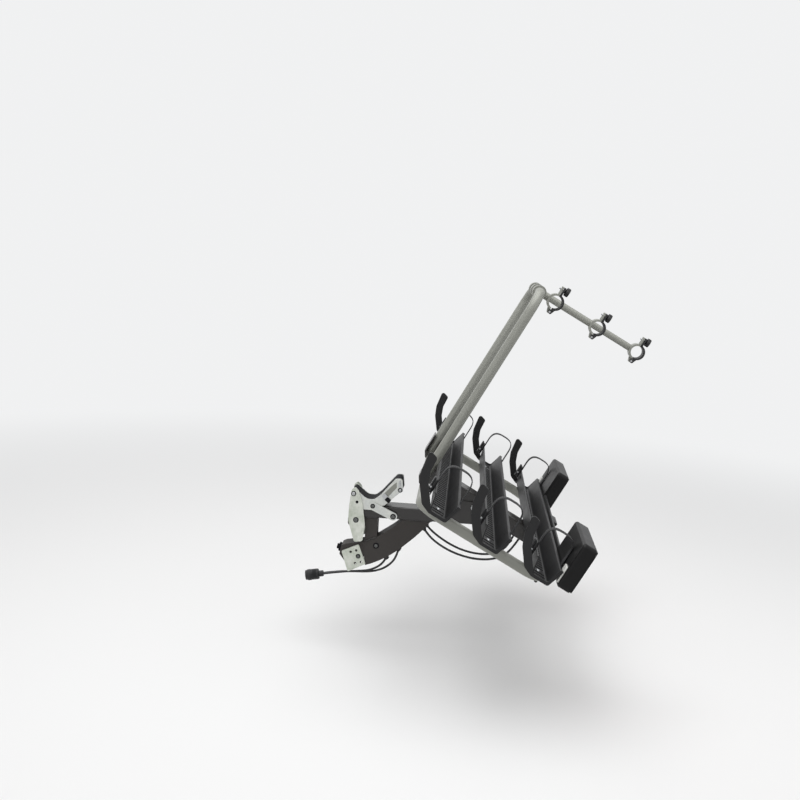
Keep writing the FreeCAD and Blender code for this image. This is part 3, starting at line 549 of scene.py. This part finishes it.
class RackSizes(bpy.types.PropertyGroup):
    """Sizes of the fittings that a user would change."""

    lead_diameter: length_prop("Lead diameter", "Thickness of the lamp and vehicle leads", 0.007)
    strap_width: length_prop("Strap width", "Width of a wheel strap", 0.025)
    strap_thick: length_prop("Strap thickness", "Thickness of a wheel strap without its teeth", 0.0021)
    tooth_pitch: length_prop("Tooth pitch", "Distance between two teeth of a strap", 0.0056)
    knob_radius: length_prop("Knob radius", "Radius of a clamp knob at its lobes", 0.015)
    weld_radius: length_prop("Weld radius", "Half width of a weld bead", 0.0024)


def finish_of(slot):
    """The finish made for a slot. The frame brings a plain material under the slot's own name."""
    return bpy.data.materials["finish_" + slot]


class RackPart:
    """What the operators share: they can be undone and they report nothing."""

    bl_options = {"REGISTER", "UNDO"}


class RACK_OT_stage(RackPart, bpy.types.Operator):
    """Camera of the photograph's view, pale floor and backdrop, and soft studio lamps"""

    bl_idname = "rack.stage"
    bl_label = "Stage"

    def execute(self, context):
        scene = context.scene
        scene.view_settings.view_transform = "Standard"
        yaw, pitch, roll = 0.06, 0.148, 0.0535
        place = (-3.4717, -0.3322, 1.0396)
        ahead = np.array([math.cos(yaw) * math.cos(pitch), math.sin(yaw) * math.cos(pitch),
                          -math.sin(pitch)])
        right = np.array([math.sin(yaw), -math.cos(yaw), 0.0])
        up = np.cross(right, ahead)
        right, up = (right * math.cos(roll) + up * math.sin(roll),
                     up * math.cos(roll) - right * math.sin(roll))
        data = bpy.data.cameras.new("photo_camera")
        data.lens, data.sensor_width = 49.5, 36.0
        data.clip_start, data.clip_end = 0.05, 100.0
        camera = placed("photo_camera", data)
        matrix = np.eye(4)
        matrix[:3] = np.column_stack([right, up, -ahead, place])
        camera.matrix_world = Matrix(matrix.tolist())
        scene.camera = camera
        self.floor()
        self.world(scene)
        self.lamps()
        return {"FINISHED"}

    def floor(self):
        """A wide pale floor that keeps the object's shadow."""
        reach = 30.0
        mesh = bpy.data.meshes.new("studio_floor")
        mesh.from_pydata([(-reach, -reach, GROUND), (reach, -reach, GROUND), (reach, reach, GROUND),
                          (-reach, reach, GROUND)], [], [(0, 1, 2, 3)])
        finish = Finish("studio_floor")
        away = finish.add("ShaderNodeVectorMath", {"operation": "LENGTH"}, {0: finish.where}, 1)
        share = finish.add("ShaderNodeMapRange", {"interpolation_type": "SMOOTHSTEP"},
                           {0: away, 1: 1.2, 2: 4.6})
        finish.shade(base_color=finish.mix(share, (0.84, 0.84, 0.84), (0.0, 0.0, 0.0)), roughness=1.0,
                     specular_ior_level=0.0, emission_color=BACKDROP, emission_strength=share)
        mesh.materials.append(finish.material)
        floor = placed("studio_floor", mesh)

    def world(self, scene):
        """Plain grey light, and near white for what the camera, gloss and glass see."""
        world = bpy.data.worlds.new("studio")
        scene.world = world
        world.use_nodes = True
        nodes, links = world.node_tree.nodes, world.node_tree.links
        nodes.clear()
        path = nodes.new("ShaderNodeLightPath")
        seen = path.outputs["Is Camera Ray"]
        for ray in ("Is Glossy Ray", "Is Transmission Ray"):
            either = nodes.new("ShaderNodeMath")
            either.operation = "MAXIMUM"
            links.new(seen, either.inputs[0])
            links.new(path.outputs[ray], either.inputs[1])
            seen = either.outputs[0]
        mix, output = nodes.new("ShaderNodeMixShader"), nodes.new("ShaderNodeOutputWorld")
        links.new(seen, mix.inputs[0])
        for number, tone, strength in ((1, (1.0, 1.0, 1.0), 0.34), (2, BACKDROP, 1.0)):
            light = nodes.new("ShaderNodeBackground")
            light.inputs[0].default_value, light.inputs[1].default_value = (*tone, 1.0), strength
            links.new(light.outputs[0], mix.inputs[number])
        links.new(mix.outputs[0], output.inputs[0])

    def lamps(self):
        """A large soft lamp overhead and three weaker ones from the sides."""
        aim = Vector((0.0, -0.4, 0.3))
        for name, place, width, power in (("overhead_lamp", (-0.4, -0.2, 3.8), 4.5, 160.0),
                                          ("near_side_lamp", (-3.6, 1.6, 2.0), 2.4, 16.0),
                                          ("rear_side_lamp", (-1.2, -3.6, 2.0), 2.4, 14.0),
                                          ("far_side_lamp", (3.0, 1.4, 2.2), 2.4, 14.0)):
            data = bpy.data.lights.new(name, "AREA")
            data.size, data.energy = width, power
            lamp = placed(name, data)
            lamp.location = place
            lamp.rotation_euler = (aim - lamp.location).to_track_quat("-Z", "Y").to_euler()


class RACK_OT_finishes(RackPart, bpy.types.Operator):
    """Procedural materials on every CAD node, and rounded copies of the square nodes"""

    bl_idname = "rack.finishes"
    bl_label = "Finishes"

    def execute(self, context):
        tone = context.scene.rack_colours
        shade = {key: tuple(getattr(tone, key)) for key in RackColours.__annotations__}
        powder_coat("beam_paint", shade["beam"], 0.25)
        powder_coat("dull_paint", darker(shade["beam"], 2.3), 0.62, gloss=0.16)
        powder_coat("lever_web_black", shade["web"], 0.70, chips=False, gloss=0.06)
        zinc_plating("zinc_plate", shade["zinc"], shade["zinc_tint"], 0.42)
        zinc_plating("zinc_bright", shade["zinc_bright"], shade["zinc_tint"], 0.38)
        bright_metal("bright_steel", shade["steel"], 0.30)
        bright_metal("bolt_grey", shade["bolt"], 0.36)
        satin_aluminium("rail_grey", shade["rail"], 0.42)
        moulded_plastic("tray_black", shade["tray"], 0.46, 800.0, 0.00008, gloss=0.24)
        strap_rubber("strap_rubber", shade["rubber"])
        moulded_plastic("grip_black", shade["grip"], 0.48, 1100.0, 0.00008)
        moulded_plastic("lamp_black", shade["lamp"], 0.40, 900.0, 0.00006, gloss=0.14)
        lamp_lens("lens_red", shade["lens"], 900.0)
        lamp_lens("lens_amber", (0.80, 0.15, 0.002), 900.0)
        lamp_lens("lens_clear", (0.72, 0.73, 0.74), 700.0)
        reflective_sheet("plate_blank", shade["plate"])
        cable_sheath("cable_black", shade["cable"])
        for name, thing in frame["nodes"].items():
            thing.data.materials.clear()
            thing.data.materials.append(finish_of(OWN_FINISH.get(name, SLOT_OF[name])))
        for body, names in SQUARE_NODES.items():
            for name in names:
                self.rounded_copy(name, frame["nodes"][name], body)
        return {"FINISHED"}

    def rounded_copy(self, name, node, body):
        """A copy of a node with its split corners joined and its sharp edges rounded, to catch light."""
        mesh = bpy.data.meshes.new("rounded_" + name)
        outwards(mesh, node.data)
        mesh.polygons.foreach_set("use_smooth", np.ones(len(mesh.polygons), bool))
        mesh.set_sharp_from_angle(angle=SHARP)
        mesh.materials.append(node.data.materials[0])
        copy = placed("rounded_" + name, mesh)
        bevel = copy.modifiers.new("edges", "BEVEL")
        bevel.width, bevel.segments = ROUNDING, 2
        bevel.limit_method, bevel.angle_limit = "ANGLE", SHARP
        copy.modifiers.new("flat_faces", "WEIGHTED_NORMAL").keep_sharp = True
        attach(copy, body)
        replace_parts(copy, name)


def spline(name, points, diameter=0.0):
    """A NURBS curve of order 3 through to its end points, round if a diameter is given."""
    curve = bpy.data.curves.new(name, "CURVE")
    curve.dimensions = "3D"
    line = curve.splines.new("NURBS")
    line.points.add(len(points) - 1)
    line.points.foreach_set("co", np.column_stack([points, np.ones(len(points))]).ravel())
    line.order_u = 3
    line.use_endpoint_u = True
    curve.resolution_u = 16
    if diameter:
        curve.bevel_depth = diameter / 2
        curve.bevel_resolution = 4
        curve.use_fill_caps = True
    return placed(name, curve)


def followed(points):
    """The points of the NURBS curve itself, and its length."""
    guide = spline("route", points)
    bpy.context.view_layer.update()
    mesh = bpy.data.meshes.new_from_object(guide)
    line = np.array([v.co for v in mesh.vertices])
    bpy.data.meshes.remove(mesh)
    curve = guide.data
    bpy.data.objects.remove(guide)
    bpy.data.curves.remove(curve)
    return line, float(np.linalg.norm(np.diff(line, axis=0), axis=1).sum())


class RACK_OT_leads(RackPart, bpy.types.Operator):
    """The lead to the vehicle with its plug, the two lamp leads, and their glands"""

    bl_idname = "rack.leads"
    bl_label = "Leads and plug"

    def execute(self, context):
        diameter = context.scene.rack_sizes.lead_diameter
        plug = self.plug()
        for name, node, points in (("vehicle_cable", "vehicle_lead", VEHICLE_LEAD),
                                   ("vehicle_cable_upper", "vehicle_lead_upper", VEHICLE_LEAD_UPPER)):
            lead = spline(name, points, diameter)
            lead.data.materials.append(finish_of("cable_black"))
            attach(lead, "coupling")
            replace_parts(lead, node)
            followed(points)[1]
        for hand, points in (("left", LAMP_LEAD_LEFT), ("right", LAMP_LEAD_RIGHT)):
            line, length = followed(points)
            cable = piece("lamp_cable_" + hand, [tube_along(line, diameter / 2, 14)], "coupling",
                          "cable_black", ride=False)
            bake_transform(cable)
            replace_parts(cable, "lamp_lead_" + hand)
        self.glands(diameter / 2)
        return {"FINISHED"}

    def plug(self):
        """The plug: collar, ribbed grip, locking ring and flat front, turned about the leads' end."""
        outline = [(8.4, -0.6), (9.2, -0.2), (9.8, 1), (10, 3), (10, 14), (15.8, 15), (17, 17), (17.6, 19)]
        ribs = [(17.6 - 0.9 * (step % 2), 20 + 1.2 * step) for step in range(14)]
        nose = [(17.6, 38), (16.8, 38.6), (16.8, 40), (18, 41), (18, 50), (17.4, 51.5), (16, 52.5),
                (16, 57), (15.5, 58)]
        fluted = between(0.019, 0.038, lambda angle, height: 1 + 0.012 * np.cos(16 * angle))
        shell = turned(PLUG_BACK, PLUG_AXIS, scaled(outline + ribs + nose), fluted, 64)
        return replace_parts(piece("vehicle_plug", [shell], "coupling", "grip_black"), "lead_plug")

    def glands(self, bore):
        """Stepped glands with a hexagon where each lead leaves the arch."""
        profile = scaled([(8.0, -9), (8.0, -4.2), (7.6, -3.8), (7.0, -3.6), (7.0, -0.6), (6.6, 0.0),
                          (5.6, 0.6), (4.6, 4.4), (4.0, 5.0), (bore / MM, 5.1)])
        nut = between(-0.0037, -0.0001, hexagon)
        shells = []
        for points in (VEHICLE_LEAD, VEHICLE_LEAD_UPPER, LAMP_LEAD_LEFT, LAMP_LEAD_RIGHT):
            start, ahead = np.array(points[0]), np.array(points[1])
            shells.append(turned(start, ahead - start, profile, nut, 48))
        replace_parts(piece("cable_glands", shells, "coupling", "grip_black"), "lead_glands")


class RACK_OT_straps(RackPart, bpy.types.Operator):
    """The toothed wheel straps over the trays, and their ratchet buckles"""

    bl_idname = "rack.straps"
    bl_label = "Wheel straps"

    def execute(self, context):
        sizes = context.scene.rack_sizes
        places = [(side * STRAP_AT, line) for line in TRAY_LINES for side in (-1, 1)]
        straps = [self.strap(*place, sizes) for place in places]
        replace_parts(piece("toothed_straps", straps, "platform", "strap_rubber"), "wheel_straps")
        buckles = sum((self.buckle(*place) for place in places), [])
        ratchet = piece("ratchet_buckles", buckles, "platform", "grip_black", "bright_steel",
                        pick=[0, 0, 0, 1] * len(places))
        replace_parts(ratchet, "strap_buckles")
        return {"FINISHED"}

    def strap(self, across, line, sizes):
        """A band along an arch over the tray.

        The arch is two uprights and a crown, |y/a|^n + |z/b|^n = 1 with n = 3. The band's outer
        face rises by a tooth at each pitch, sin^2 of the way along, within the middle half.
        """
        half, crown, upright, low = 0.0425, 0.045, 0.0595, DECK_TOP + 0.029
        angle = np.linspace(0, math.pi, 4001)
        arch = np.stack([half * np.sign(np.cos(angle)) * np.abs(np.cos(angle)) ** (2 / 3),
                         upright + crown * np.sin(angle) ** (2 / 3)], -1)
        place, band = evenly(np.concatenate([[[half, 0.0]], arch, [[-half, 0.0]]]), 420)
        ahead = unit(np.gradient(band, axis=0))
        (y, z), out_y, out_z = band.T, ahead[:, 1], -ahead[:, 0]
        width, thick = sizes.strap_width / 2, sizes.strap_thick
        section_u = np.array([-1, -0.985, -0.93, -0.5, -0.47, 0, 0.47, 0.5, 0.93, 0.985, 1,
                              1, 0.985, 0.93, 0.5, 0, -0.5, -0.93, -0.985, -1]) * width
        section_t = np.array([0.35, 0.8, 1, 1, 1, 1, 1, 1, 1, 0.8, 0.35,
                              -0.35, -0.8, -1, -1, -1, -1, -1, -0.8, -0.35]) * thick / 2
        toothed = np.zeros(len(section_u))
        toothed[4:7] = 1.0
        tooth = 0.0009 * np.sin(place / sizes.tooth_pitch * math.pi) ** 2
        rise = section_t[None, :] + tooth[:, None] * toothed[None, :]
        loops = np.stack([np.broadcast_to(across + section_u, rise.shape),
                          line + y[:, None] + out_y[:, None] * rise,
                          low + z[:, None] + out_z[:, None] * rise], -1)
        return skin(tilted(loops))

    def buckle(self, across, line):
        """A ratchet buckle: cheeked base, lever with a curled lip, a release tab and its pin."""
        y = line + 0.044
        low = DECK_TOP + 0.034
        base = block((across, y + 0.0035, low + 0.020), (0.0150, 0.0035, 0.020), 0.0025, tilted)
        lever = block((across, y + 0.0095, low + 0.028), (0.0120, 0.0028, 0.017), 0.0024, tilted)
        tab = block((across, y + 0.0080, low + 0.0055), (0.0100, 0.0045, 0.0050), 0.0022, tilted)
        pin = turned(tilted([across - 0.0163, y + 0.0080, low + 0.016]), (1, 0, 0),
                     [(0.0022, 0), (0.0028, 0.0006), (0.0028, 0.0320), (0.0022, 0.0326)], turns=20)
        return [base, lever, tab, pin]


def spun(points, middle, degrees):
    """Points turned about an X line through the (Y, Z) middle."""
    middle = np.array([0.0, *middle])
    return (np.asarray(points) - middle) @ np.array(Matrix.Rotation(math.radians(degrees), 3, "X")).T + middle


def lean(direction):
    """A level direction turned with the platform."""
    return tilted(TILT_PIN + np.asarray(direction, float)) - TILT_PIN


def pin_profile(radius, reach, head_radius, head, dimple=1.2):
    """A pin with a head on both ends and a dimple in each, in millimetres from its middle."""
    top, rim = reach + head, head_radius + 0.3
    end = [(radius, reach), (head_radius, reach), (rim, reach + 0.5), (rim, reach + head * 0.5),
           (head_radius * 0.9, reach + head * 0.8), (head_radius * 0.62, top), (head_radius * 0.5, top),
           (head_radius * 0.42, top - dimple), (head_radius * 0.2, top - dimple * 1.2)]
    return [(r, -h) for r, h in reversed(end)] + end


class RACK_OT_bolts(RackPart, bpy.types.Operator):
    """Bolts, rivets, studs and pins of the coupling, the linkage, the pivot and the trays"""

    bl_idname = "rack.bolts"
    bl_label = "Bolts and pins"

    def execute(self, context):
        fixed = self.shells()
        for name in ("hook_pivot", "link_stud", "cheek_screw", "arch_screw"):
            self.fastener(name, fixed, "bolt_grey")
        pin = scaled(pin_profile(8.0, 40.0, 11.7, 4.0))
        fixed["bright_steel"].append(turned(TILT_PIN, (1, 0, 0), pin, turns=40))
        slope = math.radians(80)
        adjuster = scaled([(14.2, 0), (15, 0.8), (15, 5.6), (14, 7), (9.2, 7.3), (8.0, 7.6), (8.0, 12.6),
                           (7.2, 13.8), (5.0, 14)])
        fixed["lever_web_black"].append(turned((0, 0.0426, 0.025), (0, math.sin(slope), math.cos(slope)),
                                               adjuster, between(0.0075, math.inf, hexagon), 48))
        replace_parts(self.fasteners("coupling_bolts", fixed, "coupling"),
                    "hook_pivot_bolt", "link_studs", "tilt_pin", "cheek_screws", "ball_adjuster_screw")
        hook = self.shells()
        self.fastener("lever_rivet", hook, "bright_steel")
        # A near-black disc on each side of the hook, over its small hole.
        dark_disc = scaled([(4.6, -0.5), (4.6, 0.9), (3.8, 1.4)])
        hook["lever_web_black"] += [turned((side * 0.0454, -0.006, 0.189), (side, 0, 0), dark_disc)
                                    for side in (-1, 1)]
        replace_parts(self.fasteners("lever_rivet", hook, "hook"), "lever_pin")
        link = self.shells()
        self.fastener("link_rivet", link, "bolt_grey")
        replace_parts(self.fasteners("link_rivets", link, "link"), "link_pin")
        self.fasteners("lever_fittings", self.handle(), "lever")
        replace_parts(self.lever_strip(), "lever_web")
        head = scaled([(8, 0), (8.2, 0.6), (8.2, 1.2), (7.4, 1.5), (7.0, 2.4), (5.6, 3.6), (3.2, 4.0),
                       (2.8, 3.2), (1.2, 3.0)])
        heads = [turned(tilted((side * TRAY_BOLT_AT, line, DECK_TOP + 0.0025)), lean((0, 0, 1)), head)
                 for line in TRAY_LINES for side in (-1, 1)]
        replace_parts(piece("tray_bolt_heads", heads, "platform", "bright_steel"), "tray_bolts")
        return {"FINISHED"}

    def lever_strip(self):
        """A bent strip between the lever's plates along their top edge, round both of its ends."""
        thick = 0.0034
        _, smooth = evenly(np.array(LEVER_EDGE), 90)
        for _ in range(3):
            smooth[1:-1] = (smooth[:-2] + 2 * smooth[1:-1] + smooth[2:]) / 4
        ahead = unit(np.gradient(smooth, axis=0))
        inwards = np.stack([-ahead[:, 1], ahead[:, 0]], -1) * thick
        across = np.array([-0.0355, -0.0355, -0.0300, 0.0300, 0.0355, 0.0355, 0.0300, -0.0300])
        depth = np.array([1.0, 0.15, 0.0, 0.0, 0.15, 1.0, 1.0, 1.0])
        flat = smooth[:, None, :] + inwards[:, None, :] * depth[None, :, None]
        sides = np.broadcast_to(across[None, :, None], (len(flat), len(across), 1))
        return piece("lever_strip", [skin(np.concatenate([sides, flat], -1))], "lever", "lever_web_black")

    def shells(self):
        """An empty list of shells for each finish of the bolts."""
        return {"bright_steel": [], "bolt_grey": [], "lever_web_black": [], "rail_grey": []}

    def fasteners(self, name, shells, body):
        """One piece from the shells of every finish."""
        pick = [number for number, finish in enumerate(shells) for _ in shells[finish]]
        return piece(name, sum(shells.values(), []), body, *shells, pick=pick)

    def fastener(self, name, shells, finish):
        """Adds a pin along X to both sides: shank, a near-black ring of painted shade round the foot of the
        head, and the hexagon head with its dimple.
        """
        y, z, start, reach, shade_ring_radius, flat, shank = FASTENERS[name]
        bar = scaled([(shank, start), (shank, reach + 0.5)])
        ring = scaled([(radius, reach + height) for radius, height in (
            (flat, -0.3), (shade_ring_radius, -0.3), (shade_ring_radius, 1.0), (shade_ring_radius - 0.6, 1.6), (flat * 1.2, 1.6),
            (flat * 1.16, 1.1))])
        head = scaled([(share * flat, reach + height) for share, height in (
            (1.0, 0.4), (1.0, 3.4), (0.86, 4.2), (0.5, 4.2), (0.42, 3.0), (0.2, 2.8))])
        for side in (-1, 1):
            at, out = (0, y * MM, z * MM), (side, 0, 0)
            shells[finish].append(turned(at, out, bar, turns=24))
            # Painted shade: a near-black ring round the foot of each head stands for the shade there.
            shells["lever_web_black"].append(turned(at, out, ring))
            shells[finish].append(turned(at, out, head, hexagon, 36))

    def handle(self):
        """The handle's shells on both plates: grey field, sleeve, a near-black block under the sleeve that
        paints its shade, bright bar and end rivet.
        """
        shells = self.shells()
        outline = [(-88, 217), (-99, 230), (-119, 252), (-130, 261), (-131, 243), (-105, 212), (-97, 205)]
        for side in (-1, 1):
            field = [[(side * x, y * MM, z * MM) for y, z in outline] for x in (0.0398, 0.0404)]
            shells["rail_grey"].append(skin(field))
            for (x, y, z), half, edge, degrees, finish in HANDLE_BLOCKS:
                shells[finish].append(block((side * x, y, z), half, edge,
                                            lambda points: spun(points, (y, z), degrees)))
        self.fastener("handle_rivet", shells, "bright_steel")
        return shells


class RACK_OT_welds(RackPart, bpy.types.Operator):
    """Weld beads on the beams, and the plastic cap in the fixed beam's front end"""

    bl_idname = "rack.welds"
    bl_label = "Welds and cap"

    def execute(self, context):
        radius = context.scene.rack_sizes.weld_radius
        under = 0.1375
        runs = [((-0.028, y, under), (0.028, y, under)) for y in (-0.0355, -0.247)]
        for x in (-0.0305, 0.0305):
            runs += [((x, -0.035, under), (x, -0.074, under)), ((x, -0.158, under), (x, -0.246, under)),
                     ((x * 0.985, -0.037, 0.0581), (x * 0.985, -0.074, 0.0743))]
        beads = [bead(start, end, radius) for start, end in runs]
        piece("coupling_welds", beads, "coupling", "beam_paint", angle=60.0)
        deck = [bead(tilted((x, y, 0.203)), tilted((x, y, 0.229)), radius)
                for x in (-0.0345, 0.0345) for y in (-0.2005, -0.5795)]
        piece("deck_welds", deck, "platform", "beam_paint", angle=60.0)
        cap = block((0, -0.0212, 0.158), (0.0345, 0.0016, 0.0195), 0.0014)
        piece("beam_end_cap", [cap], "coupling", "tray_black")
        return {"FINISHED"}


class RACK_OT_knobs(RackPart, bpy.types.Operator):
    """The clamp knobs with six lobes and threaded screws, and the ribbed plunger grip"""

    bl_idname = "rack.knobs"
    bl_label = "Knobs and plunger"

    def execute(self, context):
        radius = context.scene.rack_sizes.knob_radius / MM
        axis = lean((0, -1, 0))
        lobed = between(0.0214, math.inf, lambda angle, height: 1 - 0.055 * (1 - np.cos(6 * angle)))
        for number, name in enumerate(ARMS):
            across = (number - 1) * ARM_PITCH
            start = tilted((across, TRAY_LINES[number] + 0.012, HOOP_BAR + 0.043))
            thread = [(2.6 + 0.4 * (step % 2), 0.4 + 0.5 * step) for step in range(36)]
            screw = turned(start, axis, scaled([(1.8, 0)] + thread + [(3, 18.9), (3, 26)]), turns=18)
            neck = [(6, 18.9), (6.5, 19.1), (6.8, 20.6)]
            grip = [(radius * share, height) for share, height in (
                (0.86, 21.6), (0.97, 22.6), (1.0, 24), (1.0, 31), (0.97, 32.6), (0.88, 33.8), (0.7, 34.5),
                (0.5, 34.8), (0.42, 34.3), (0.2, 34.1))]
            lobes = turned(start, axis, scaled(neck + grip), lobed, 72)
            knob = piece("clamp_knob_" + name, [screw, lobes], "knob_" + name, "bright_steel", "grip_black",
                         slot="grip_black", pick=[0, 1])
            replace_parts(knob, "holder_knob_" + name)
        ribs = [(14 - 0.9 * (step % 2), 3 + 1.1 * step) for step in range(14)]
        back, front = [(6, 0), (10, 0), (12.8, 0.8), (13.8, 2.2)], [(13.6, 18.6), (12, 19.6), (6, 20)]
        grip = turned((-0.096, *PLUNGER), (1, 0, 0), scaled(back + ribs + front), turns=48)
        rod = turned((-0.080, *PLUNGER), (1, 0, 0), scaled([(4.5, 0), (5, 0.5), (5, 43.5), (4.2, 44.4)]))
        plunger = piece("plunger_knob", [rod, grip], "lock_plunger", "bright_steel", "grip_black",
                        slot="grip_black", pick=[0, 1])
        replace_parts(plunger, "plunger")
        return {"FINISHED"}


class RACK_OT_lamps(RackPart, bpy.types.Operator):
    """Sectioned rear lenses, white front markers and the number plate's lamp"""

    bl_idname = "rack.lamps"
    bl_label = "Lamps"

    def execute(self, context):
        for side, hand in ((-1, "left"), (1, "right")):
            shells = [block((side * x, y, z), half, edge, tilted) for (x, y, z), half, edge, _ in LAMP_BLOCKS]
            cover = piece("lamp_cover_" + hand, shells, "platform", "lens_red", "lens_amber", "lens_clear",
                          "lamp_black", pick=[number for *_, number in LAMP_BLOCKS])
            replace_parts(cover, "lamp_lens_" + hand)
            marker = block((side * 0.5620, -0.6105, 0.2775), (0.0185, 0.0026, 0.0250), 0.0020, tilted)
            piece("front_marker_" + hand, [marker], "platform", "plate_blank")
        hood = block((0, -0.6245, 0.2868), (0.045, 0.0075, 0.0048), 0.0026, tilted)
        glass = block((0, -0.6255, 0.2812), (0.038, 0.0048, 0.0014), 0.0010, tilted)
        piece("plate_lamp", [hood, glass], "platform", "lamp_black", "lens_clear", pick=[0, 1])
        return {"FINISHED"}


class RACK_OT_trays(RackPart, bpy.types.Operator):
    """The cross ribs on the trays' floors"""

    bl_idname = "rack.trays"
    bl_label = "Tray ribs"

    def execute(self, context):
        pitch, bolt_room = 0.024, 0.014
        ribs = [block((x, line, DECK_TOP + 0.0030), (0.0022, 0.0185, 0.0012), 0.0007, tilted)
                for line in TRAY_LINES for x in np.arange(-0.564, 0.565, pitch)
                if abs(abs(x) - TRAY_BOLT_AT) > bolt_room]
        piece("tray_ribs", ribs, "platform", "tray_black")
        return {"FINISHED"}


class VIEW3D_PT_rack(bpy.types.Panel):
    """The rack's operators, sizes and colours"""

    bl_label = "Bike Rack"
    bl_category = "Bike Rack"
    bl_space_type = "VIEW_3D"
    bl_region_type = "UI"

    def draw(self, context):
        for operator in OPERATORS:
            self.layout.operator(operator.bl_idname)
        for group in (context.scene.rack_sizes, context.scene.rack_colours):
            for name in type(group).__annotations__:
                self.layout.prop(group, name)


OPERATORS = (RACK_OT_stage, RACK_OT_finishes, RACK_OT_leads, RACK_OT_straps, RACK_OT_bolts, RACK_OT_welds,
             RACK_OT_knobs, RACK_OT_lamps, RACK_OT_trays)
CLASSES = (RackColours, RackSizes, *OPERATORS, VIEW3D_PT_rack)


def register():
    """Registers the classes and hangs the settings on the scene."""
    for kind in CLASSES:
        bpy.utils.register_class(kind)
    bpy.types.Scene.rack_colours = bpy.props.PointerProperty(type=RackColours)
    bpy.types.Scene.rack_sizes = bpy.props.PointerProperty(type=RackSizes)


def unregister():
    """Takes the settings off the scene and unregisters the classes."""
    del bpy.types.Scene.rack_sizes
    del bpy.types.Scene.rack_colours
    for kind in reversed(CLASSES):
        bpy.utils.unregister_class(kind)


def main():
    """Builds the whole rack."""
    register()
    for operator in OPERATORS:
        group, name = operator.bl_idname.split(".")
        getattr(getattr(bpy.ops, group), name)()
    bpy.context.view_layer.update()


if __name__ == "__main__":
    main()
